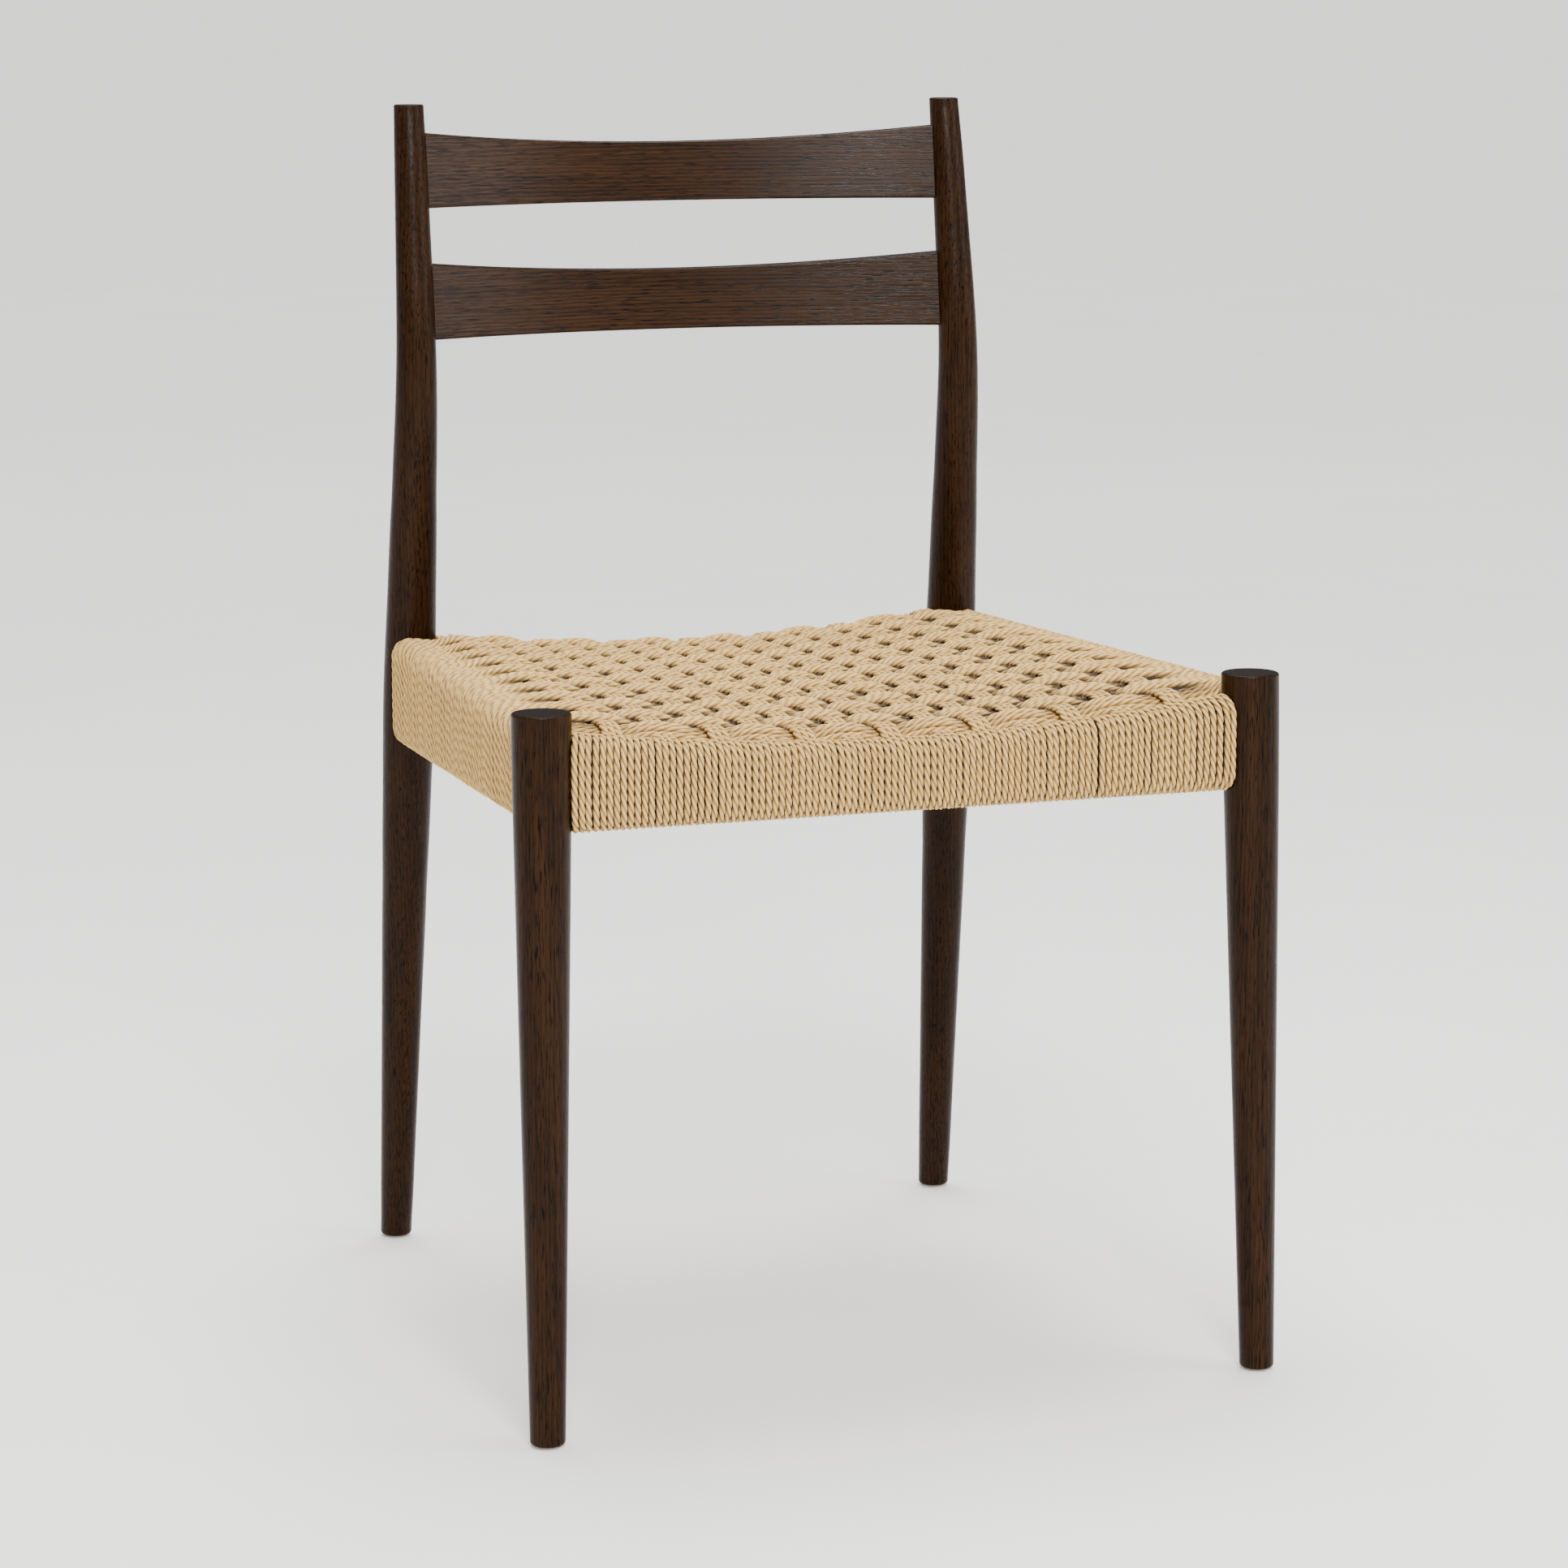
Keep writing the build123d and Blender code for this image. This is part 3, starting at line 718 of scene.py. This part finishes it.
def cord_mesh(name, strands):
    """One closed mesh of many strands, with a UV map that follows the plies.

    U goes round the cord and V along it, in metres."""
    ring = Cord.RING
    corners, faces, uvs, painted_shades = [], [], [], []
    offset = 0
    around = np.arange(ring)
    following = (around + 1) % ring
    for rings, lengths, painted_shade in strands:
        count = len(rings)
        corners.append(rings.reshape(-1, 3) * MM)
        painted_shades.append(painted_shade.reshape(-1))
        starts = offset + np.arange(count - 1)[:, None] * ring
        ends = starts + ring
        quads = (starts + around, starts + following, ends + following, ends + around)
        faces.extend(np.stack(quads, axis=-1).reshape(-1, 4).tolist())
        grid = (count - 1, ring)
        low = np.broadcast_to(around / ring, grid)
        high = low + 1 / ring
        near = np.broadcast_to(lengths[:-1, None], grid)
        far = np.broadcast_to(lengths[1:, None], grid)
        uvs.append(np.stack((low, near, high, near, high, far, low, far), axis=-1).reshape(-1))
        faces.append((offset + around[::-1]).tolist())
        faces.append((offset + (count - 1) * ring + around).tolist())
        for end in (lengths[0], lengths[-1]):
            uvs.append(np.stack((around / ring, np.full(ring, end)), axis=-1).reshape(-1))
        offset += count * ring
    mesh = bpy.data.meshes.new(name)
    mesh.from_pydata(np.concatenate(corners).tolist(), [], faces)
    layer = mesh.uv_layers.new(name="cord")
    layer.uv.foreach_set("vector", np.concatenate(uvs).astype(np.float32))
    # Painted shade: the darkening share of each point, read by the cord material
    shade = mesh.attributes.new("painted_shade", "FLOAT", "POINT")
    shade.data.foreach_set("value", np.concatenate(painted_shades).astype(np.float32))
    mesh.polygons.foreach_set("use_smooth", np.ones(len(mesh.polygons), bool))
    mesh.update()
    return mesh


def linked(name, data):
    """New object in the scene."""
    item = bpy.data.objects.new(name, data)
    bpy.context.scene.collection.objects.link(item)
    return item


def finish_cord_piece(name, strands, replaced):
    """Links a cord piece, dresses it and fits it into the frame."""
    piece = linked(name, cord_mesh(name, strands))
    piece.data.materials.append(material_named(PAPER_CORD))
    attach(piece, "root")
    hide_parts(*replaced)


# -------- materials

STAINED_WOOD_UPRIGHT = "stained_beech_upright"
STAINED_WOOD_SLAT = "stained_beech_slat"
PAPER_CORD = "twisted_paper_cord"
NAIL_STEEL = "drawn_steel_wire"
GLIDE_PLASTIC = "moulded_nylon"
STUDIO_FLOOR = "matt_studio_floor"


def linear(colour):
    """Linear colour, with alpha, of an sRGB hex text or an sRGB triple."""
    if isinstance(colour, str):
        colour = [int(colour[i : i + 2], 16) / 255 for i in (1, 3, 5)]
    return [c / 12.92 if c <= 0.04045 else ((c + 0.055) / 1.055) ** 2.4 for c in colour] + [1.0]


def new_material(name):
    """Empty material, in place of any of the same name, and the function that adds its nodes."""
    old = bpy.data.materials.get(name)
    if old:
        bpy.data.materials.remove(old)
    material = bpy.data.materials.new(name)
    material.use_nodes = True
    material.node_tree.nodes.clear()
    return material, partial(add_node, material.node_tree)


def material_named(name):
    """The material of that name, mixed the first time it is asked for."""
    material = bpy.data.materials.get(name)
    return material if material else MIXERS[name]()


def add_node(tree, kind, inputs=None, stops=(), **settings):
    """Adds a shader node with its settings and gives its outputs.

    An input that is a socket is linked, and any other is set. The stops of a ramp are places
    with their colours or greys."""
    node = tree.nodes.new("ShaderNode" + kind)
    for key, value in settings.items():
        setattr(node, key, value)
    for key, value in (inputs or {}).items():
        if isinstance(value, bpy.types.NodeSocket):
            tree.links.new(value, node.inputs[key])
        else:
            node.inputs[key].default_value = value
    if stops:
        band = node.color_ramp.elements
        while len(band) < len(stops):
            band.new(0.5)
        for element, (place, colour) in zip(band, stops):
            element.position = place
            element.color = (colour,) * 3 + (1,) if isinstance(colour, (int, float)) else colour
    return node.outputs


def toned(colour, *shares):
    """The linear colour times one share or one for each channel, at most white."""
    shares = shares if len(shares) == 3 else shares * 3
    return [min(1.0, c * share) for c, share in zip(colour, shares)] + [1.0]


def streaks(add, where, cells, detail, roughness, distortion=0.0):
    """Soft pattern with so many cells to a unit of each axis, which is a metre or a ply."""
    stretched = add("Mapping", {"Vector": where, "Scale": cells})[0]
    return add("TexNoise", {
        "Vector": stretched, "Scale": 1.0, "Detail": detail, "Roughness": roughness,
        "Distortion": distortion,
    })["Fac"]


def stained_wood(name, grain_turn, bow=0.0, paleness=1.0, gloss=0.07, lines=0.18):
    """Close-grained hardwood under espresso stain and satin lacquer.

    Fine dark pores, broad soft figure and a low sheen that breaks over the grain. Paleness
    scales the stain, gloss is the lacquer's and lines is the weight of the growth lines."""
    settings = bpy.context.scene.chair_settings.wood
    material, add = new_material(name)
    where = add("TexCoord")["Object"]
    if bow:
        # The grain follows the bend of the slat
        x, y, z = add("SeparateXYZ", {"Vector": where})
        square = add("Math", {0: x, 1: x}, operation="MULTIPLY")[0]
        straightened = add("Math", {0: square, 1: bow, 2: y}, operation="MULTIPLY_ADD")[0]
        where = add("CombineXYZ", {"X": x, "Y": straightened, "Z": z})[0]
    turned = add("Mapping", {"Vector": where, "Rotation": grain_turn})[0]
    # Broad figure: light and dark bands some 12 mm wide and 200 mm long
    figure = streaks(add, turned, (80, 80, 5), 4.0, 0.55, 0.6)
    # Growth lines, 2 to 3 mm apart, wavering along the piece
    stretched = add("Mapping", {"Vector": turned, "Scale": (1, 1, 0.07)})[0]
    rings = add("TexWave", {
        "Vector": stretched, "Scale": 115.0, "Distortion": 7.0, "Detail": 3.0,
        "Detail Scale": 0.9, "Detail Roughness": 0.6,
    })["Fac"]
    # Pores: dark dashes 0.3 mm wide and about 5 mm long
    pits = streaks(add, turned, (1500, 1500, 75), 2.0, 0.5)
    pores = add("ValToRGB", {"Fac": pits}, [(0.36, 1.0), (0.46, 0.0)])["Color"]
    # Fibre: a fine streak between the pores
    fibre = streaks(add, turned, (1200, 1200, 20), 3.0, 0.6)
    growth = add("Mix", {"Factor": lines, 2: figure, 3: rings})[0]
    body = add("Mix", {"Factor": 0.3, 2: growth, 3: fibre})[0]
    dark, light = (toned(linear(tone), paleness) for tone in (settings.dark, settings.light))
    middle = [(a + b) / 2 for a, b in zip(dark, light)]
    stain = add("ValToRGB", {"Fac": body}, [(0.3, dark), (0.5, middle), (0.7, light)])["Color"]
    multiplied = {"data_type": "RGBA", "blend_type": "MULTIPLY"}
    pored = add("Mix", {"Factor": pores, 6: stain, 7: linear("#56463B")}, **multiplied)[2]
    # Faces that look up have drunk more stain and kept less lacquer
    facing = add("SeparateXYZ", {"Vector": add("TexCoord")["Normal"]})["Z"]
    upward = add("ValToRGB", {"Fac": facing}, [(0.8, 0.0), (0.97, 1.0)])["Color"]
    colour = add("Mix", {"Factor": upward, 6: pored, 7: linear("#8C8078")}, **multiplied)[2]
    lacquer = add("Math", {0: upward, 1: -0.8 * gloss, 2: gloss}, operation="MULTIPLY_ADD")[0]
    dull, satin = settings.roughness + 0.1, settings.roughness - 0.06
    sheen = add("ValToRGB", {"Fac": fibre}, [(0.3, dull), (0.7, satin)])["Color"]
    relief = add("Math", {0: pores, 1: -0.8, 2: fibre}, operation="MULTIPLY_ADD")[0]
    bump = add("Bump", {"Strength": 0.22, "Distance": 0.00025, "Height": relief})[0]
    shader = add("BsdfPrincipled", {
        "Base Color": colour,
        "Roughness": sheen,
        "Normal": bump,
        "IOR": 1.5,
        "Specular IOR Level": lacquer,
    })[0]
    add("OutputMaterial", {"Surface": shader})
    return material


def twisted_paper_cord():
    """Unbleached paper, slit, spun and laid up in three plies, with a thin wax.

    Warm straw colour, with painted shade in the grooves between the plies and where the cord lies
    against its neighbours, the fine slanting creases of the spun paper and a dull sheen on the
    crowns."""
    settings = bpy.context.scene.chair_settings.cord
    material, add = new_material(PAPER_CORD)
    place = add("UVMap", uv_map="cord")[0]
    parts = add("SeparateXYZ", {"Vector": place})
    # Place across one ply, from 0 in one groove to 1 in the next
    plies = add("Math", {0: parts["X"], 1: Cord.PLIES}, operation="MULTIPLY")[0]
    across = add("Math", {0: plies}, operation="FRACT")[0]
    arch = add("Math", {0: across, 1: 0.5}, operation="PINGPONG")[0]
    groove = add("ValToRGB", {"Fac": arch}, [(0.0, 0.85), (0.15, 0.42), (0.36, 0.0)])["Color"]
    # Creases of the spun paper: about 1 mm apart, slanting across each ply
    slant = add("Math", {0: across, 1: 0.0035, 2: parts["Y"]}, operation="MULTIPLY_ADD")[0]
    crease_place = add("CombineXYZ", {"X": plies, "Y": slant, "Z": 0.0})[0]
    creases = streaks(add, crease_place, (1.4, 900, 1), 3.0, 0.55)
    # Slow change of tone along a strand and from one strand to the next
    tone = streaks(add, place, (0.0, 11, 1), 2.0, 0.5)
    paper = linear(settings.colour)
    deep, pale = toned(paper, 0.82, 0.79, 0.74), toned(paper, 1.13)
    blend = add("Mix", {"Factor": 0.45, 2: tone, 3: creases})[0]
    straw = add("ValToRGB", {"Fac": blend}, [(0.3, deep), (0.5, paper), (0.7, pale)])["Color"]
    # Painted shade: the grooves between the plies are darkened to brown
    groove_shade_mix = {"Factor": groove, 6: straw, 7: linear("#5E3B1B")}
    grooved = add("Mix", groove_shade_mix, data_type="RGBA")[2]
    # Painted shade: where it lies against its neighbours or under the weave's upper faces, the
    # cord is darkened to deep brown
    painted_shade = add("Attribute", attribute_name="painted_shade")["Fac"]
    shaded = add("Math", {0: painted_shade, 1: 0.94}, operation="MULTIPLY")[0]
    painted_shade_mix = {"Factor": shaded, 6: grooved, 7: linear("#2A180C")}
    colour = add("Mix", painted_shade_mix, data_type="RGBA")[2]
    height = add("Math", {0: groove, 1: -0.8, 2: creases}, operation="MULTIPLY_ADD")[0]
    bump = add("Bump", {"Strength": 0.7, "Distance": 0.0005, "Height": height})[0]
    rough = add("ValToRGB", {"Fac": creases}, [(0.3, 0.78), (0.7, 0.62)])["Color"]
    shader = add("BsdfPrincipled", {
        "Base Color": colour,
        "Roughness": rough,
        "Normal": bump,
        "IOR": 1.45,
        "Specular IOR Level": 0.25,
        "Sheen Weight": 0.03,
        "Sheen Roughness": 0.5,
    })[0]
    add("OutputMaterial", {"Surface": shader})
    return material


def speckled(add, grain, colours, dullness, relief):
    """Inputs of a surface whose colour, polish and relief all follow one fine grain.

    The grain is given as cells per metre, detail and roughness, and the relief as strength
    and depth in metres."""
    cells, detail, roughness = grain
    speck = add("TexNoise", {
        "Vector": add("TexCoord")["Object"], "Scale": cells, "Detail": detail,
        "Roughness": roughness,
    })["Fac"]
    low, high = (linear(colour) for colour in colours)
    strength, depth = relief
    return {
        "Base Color": add("ValToRGB", {"Fac": speck}, [(0.3, low), (0.7, high)])["Color"],
        "Roughness": add("ValToRGB", {"Fac": speck}, list(zip((0.3, 0.7), dullness)))["Color"],
        "Normal": add("Bump", {"Strength": strength, "Distance": depth, "Height": speck})[0],
    }


def drawn_steel_wire():
    """Drawn steel wire: bright, with a fine grain of half a millimetre and a grey bloom."""
    material, add = new_material(NAIL_STEEL)
    finish = speckled(
        add, (1800.0, 3.0, 0.6), ("#8E8C88", "#BDBBB6"), (0.42, 0.24), (0.2, 0.00005)
    )
    shader = add("BsdfPrincipled", {**finish, "Metallic": 1.0})[0]
    add("OutputMaterial", {"Surface": shader})
    return material


def moulded_nylon():
    """Moulded nylon: warm grey, a little waxy, with scuffs about 1 mm long."""
    material, add = new_material(GLIDE_PLASTIC)
    finish = speckled(
        add, (900.0, 4.0, 0.65), ("#8B8780", "#A7A39B"), (0.6, 0.45), (0.25, 0.0001)
    )
    shader = add("BsdfPrincipled", {**finish, "IOR": 1.51})[0]
    add("OutputMaterial", {"Surface": shader})
    return material


def matt_studio_floor():
    """Matt painted board: near white, faintly uneven in broad patches."""
    material, add = new_material(STUDIO_FLOOR)
    where = add("TexCoord")["Object"]
    # Patches about a third of a metre wide
    patches = {"Vector": where, "Scale": 3.0, "Detail": 2.0, "Roughness": 0.5}
    uneven = add("TexNoise", patches)["Fac"]
    whites = [(0.3, linear("#F2F1EF")), (0.7, linear("#F5F4F2"))]
    paint = add("ValToRGB", {"Fac": uneven}, whites)["Color"]
    # The board is lit from below, more so where the softboxes no longer reach
    distance = add("VectorMath", {"Vector": where}, operation="LENGTH")["Value"]
    span = {"From Min": 0.6, "From Max": 5.0, "To Min": 0.32, "To Max": 1.15}
    glow = add("MapRange", {"Value": distance, **span}, interpolation_type="SMOOTHSTEP")
    shader = add("BsdfPrincipled", {
        "Base Color": paint,
        "Roughness": 0.9,
        "Emission Color": paint,
        "Emission Strength": glow["Result"],
    })[0]
    add("OutputMaterial", {"Surface": shader})
    return material


# Bow of a slat: 41 mm of sagitta over its half-length of 196 mm, as a curvature per metre
SLAT_CURVATURE = 1.066
MIXERS = {
    STAINED_WOOD_UPRIGHT: lambda: stained_wood(STAINED_WOOD_UPRIGHT, (0, 0, 0.5)),
    STAINED_WOOD_SLAT: lambda: stained_wood(
        STAINED_WOOD_SLAT, (0, radians(90), 0), SLAT_CURVATURE, 1.16, 0.15, 0.34
    ),
    PAPER_CORD: twisted_paper_cord,
    NAIL_STEEL: drawn_steel_wire,
    GLIDE_PLASTIC: moulded_nylon,
    STUDIO_FLOOR: matt_studio_floor,
}

FINISHES = {
    STAINED_WOOD_UPRIGHT: (
        "front_left_leg", "front_right_leg", "back_left_post", "back_right_post",
    ),
    STAINED_WOOD_SLAT: ("upper_slat", "lower_slat", *(side + "_rail" for side in RAILS)),
    NAIL_STEEL: ("glide_nails", *(side + "_cord_nails" for side in RAILS)),
    GLIDE_PLASTIC: (
        "front_left_glide", "front_right_glide", "back_left_glide", "back_right_glide",
    ),
}


def finish_nodes(*materials):
    """Gives the solid pieces their finishes."""
    for name in materials:
        for node in FINISHES[name]:
            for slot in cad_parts[node].material_slots:
                slot.link = "OBJECT"
                slot.material = material_named(name)


# -------- operators


class CHAIR_OT_finish_wood(bpy.types.Operator):
    """Stain and lacquer the legs, posts, slats and rails"""

    bl_idname = "chair.finish_wood"
    bl_label = "Finish Wood"

    def execute(self, context):
        finish_nodes(STAINED_WOOD_UPRIGHT, STAINED_WOOD_SLAT)
        return {"FINISHED"}


class CHAIR_OT_finish_hardware(bpy.types.Operator):
    """Finish the cord nails and the glides under the feet"""

    bl_idname = "chair.finish_hardware"
    bl_label = "Finish Nails and Glides"

    def execute(self, context):
        finish_nodes(NAIL_STEEL, GLIDE_PLASTIC)
        return {"FINISHED"}


# Each cord piece of the seat, and what it stands in for
CORD_PIECES = (
    ("front_rail_cord", ("front_cord_wrap",)),
    ("back_rail_cord", ("back_cord_wrap",)),
    ("left_rail_cord", ("left_cord_wrap",)),
    ("right_rail_cord", ("right_cord_wrap",)),
    ("seat_warp_cord", ("woven_seat_panel",)),
    ("seat_front_weft_cord", ("woven_seat_panel",)),
    ("seat_back_weft_cord", ("woven_seat_panel",)),
)


class CHAIR_OT_wind_and_weave(bpy.types.Operator):
    """Wind the rails and weave the seat from twisted paper cord"""

    bl_idname = "chair.wind_and_weave"
    bl_label = "Wind and Weave the Seat"

    def execute(self, context):
        cord = Cord(context.scene.chair_settings.cord)
        weave = Weave(cord)
        winding = Winding(cord)
        self.lay_warps(cord, weave, winding)
        self.lay_wefts(cord, weave, winding)
        self.wind_rails(cord, weave, winding)
        for name, replaced in CORD_PIECES:
            finish_cord_piece(name, winding.strands[name], replaced)
        return {"FINISHED"}

    def wind_rails(self, cord, weave, winding):
        """Winds the plain turns between the groups of warp."""
        for side, runs in (("front", weave.front_plain), ("back", weave.back_plain)):
            for places in runs:
                if len(places):
                    strayed = places + cord.stray(TURN_STRAY, len(places))
                    route = wound_turns(RAILS[side], cord, strayed)
                    winding.add(side + "_rail_cord", *cord.lay_strand(route))

    def lay_warps(self, cord, weave, winding):
        """Lays each group: a loop of its two outer cords, and a single middle one."""
        front, back = RAILS["front"], RAILS["back"]
        hook = NAIL_RADIUS + cord.radius + WARP_HOOK_ROOM
        for group in range(len(weave.front)):
            centre = weave.front[group] - front.start[0]
            nail = weave.front_nail[group] - front.start[0]
            back_centre = back.start[0] - weave.back[group]
            back_nail = back.start[0] - weave.back_nail[group]
            height, back_height = front.nail_height(nail), back.nail_height(back_nail)
            strands = {}
            for lane in WARP_LANES:
                drop = 0.0 if lane else WARP_MIDDLE_DROP
                at_front = over_rail(
                    front, cord, centre + lane * LANE, nail + lane * hook, height - drop
                )
                at_back = over_rail(
                    back, cord, back_centre - lane * LANE, back_nail - lane * hook,
                    back_height - drop,
                )
                across = warp_run(weave, cord, group, lane, at_front[0], at_back[0])
                strands[lane] = (at_front, across, at_back)
            winding.lay_loop(
                "seat_warp_cord", "front_rail_cord", "back_rail_cord", strands[-1], strands[1],
                nail_hook(front, cord, nail, hook, height),
                nail_hook(back, cord, back_nail, hook, back_height),
            )
            at_front, across, at_back = strands[0]
            winding.lay([
                ("front_rail_cord", at_front[::-1]),
                ("seat_warp_cord", across),
                ("back_rail_cord", at_back),
            ])

    def lay_wefts(self, cord, weave, winding):
        """Lays each row: two loops, the inner one within the outer."""
        left, right = RAILS["left"], RAILS["right"]
        pitch = (right.length - 2 * WEFT_NAIL_MARGIN) / (WEFT_ROWS - 1)
        for row in range(WEFT_ROWS):
            field = "seat_front_weft_cord" if row < WEFT_ROWS / 2 else "seat_back_weft_cord"
            nail = WEFT_NAIL_MARGIN + pitch * row
            left_nail = left.length - nail
            left_height, height = left.nail_height(left_nail), right.nail_height(nail)
            for outer in reversed(WEFT_LANES[2:]):
                room = cord.radius * 2 - WEFT_HOOK_NEST if outer > 1 else 0
                hook = NAIL_RADIUS + cord.radius + room
                strands = []
                for lane in (-outer, outer):
                    reach = hook if lane > 0 else -hook
                    place = lane * SIDE_LANE + cord.stray(SIDE_STRAY)
                    at_left = over_rail(
                        left, cord, left_nail - place, left_nail - reach, left_height
                    )
                    place = lane * SIDE_LANE + cord.stray(SIDE_STRAY)
                    at_right = over_rail(right, cord, nail + place, nail + reach, height)
                    across = weft_run(weave, cord, row, lane, at_left[0], at_right[0])
                    strands.append((at_left, across, at_right))
                winding.lay_loop(
                    field, "left_rail_cord", "right_rail_cord", *strands,
                    nail_hook(left, cord, left_nail, -hook, left_height),
                    nail_hook(right, cord, nail, -hook, height),
                )


# Softboxes: name, place, aim, size in metres and power in watts
LAMPS = (
    ("key_softbox", (-0.7, -3.4, 2.8), (0, 0, 0.45), 1.4, 215.0),
    ("fill_softbox", (2.9, -1.8, 1.8), (0, 0, 0.45), 1.8, 50.0),
    ("top_softbox", (0.2, 0.6, 3.2), (0, 0, 0.4), 2.0, 150.0),
)


class CHAIR_OT_set_stage(bpy.types.Operator):
    """Set up the floor, the soft lights and the camera"""

    bl_idname = "chair.set_stage"
    bl_label = "Set Stage"

    def execute(self, context):
        bpy.ops.object.select_all(action="DESELECT")
        bpy.ops.mesh.primitive_circle_add(vertices=96, radius=150.0, fill_type="NGON")
        floor = context.object
        floor.name = "studio_floor"
        floor.data.materials.append(material_named(STUDIO_FLOOR))

        world = bpy.data.worlds.new("studio_air")
        world.use_nodes = True
        context.scene.world = world
        background = world.node_tree.nodes["Background"]
        background.inputs["Color"].default_value = (1.0, 1.0, 1.0, 1.0)
        background.inputs["Strength"].default_value = 0.42

        for name, place, aim, size, power in LAMPS:
            light = bpy.data.lights.new(name, "AREA")
            light.shape = "SQUARE"
            light.size = size
            light.energy = power
            lamp = linked(name, light)
            lamp.location = place
            lamp.rotation_euler = (Vector(aim) - Vector(place)).to_track_quat("-Z", "Y").to_euler()

        # Seen from the front, a little from the left and from above
        lens = bpy.data.cameras.new("studio_camera")
        lens.sensor_width = 36.0
        lens.lens = 107.42
        camera = linked("studio_camera", lens)
        camera.location = (-1.02111, -2.91196, 0.91724)
        camera.rotation_euler = (radians(79.744), radians(0.057), radians(-19.366))
        context.scene.camera = camera
        return {"FINISHED"}


class CHAIR_PT_workshop(bpy.types.Panel):
    """Lists the steps that finish the chair"""

    bl_idname = "CHAIR_PT_workshop"
    bl_label = "Dining Chair"
    bl_space_type = "VIEW_3D"
    bl_region_type = "UI"
    bl_category = "Chair"

    def draw(self, context):
        settings = context.scene.chair_settings
        for group in (settings.cord, settings.wood):
            box = self.layout.box()
            for name in group.bl_rna.properties.keys():
                if name not in ("rna_type", "name"):
                    box.prop(group, name)
        for step in STEPS:
            self.layout.operator(step.bl_idname)


STEPS = (
    CHAIR_OT_finish_wood, CHAIR_OT_finish_hardware, CHAIR_OT_wind_and_weave, CHAIR_OT_set_stage,
)
CLASSES = (CordSettings, WoodSettings, ChairSettings) + STEPS + (CHAIR_PT_workshop,)


def register():
    for item in CLASSES:
        bpy.utils.register_class(item)
    bpy.types.Scene.chair_settings = PointerProperty(type=ChairSettings)


def unregister():
    del bpy.types.Scene.chair_settings
    for item in reversed(CLASSES):
        bpy.utils.unregister_class(item)


def main():
    register()
    bpy.ops.chair.finish_wood()
    bpy.ops.chair.finish_hardware()
    bpy.ops.chair.wind_and_weave()
    bpy.ops.chair.set_stage()


if __name__ == "__main__":
    main()
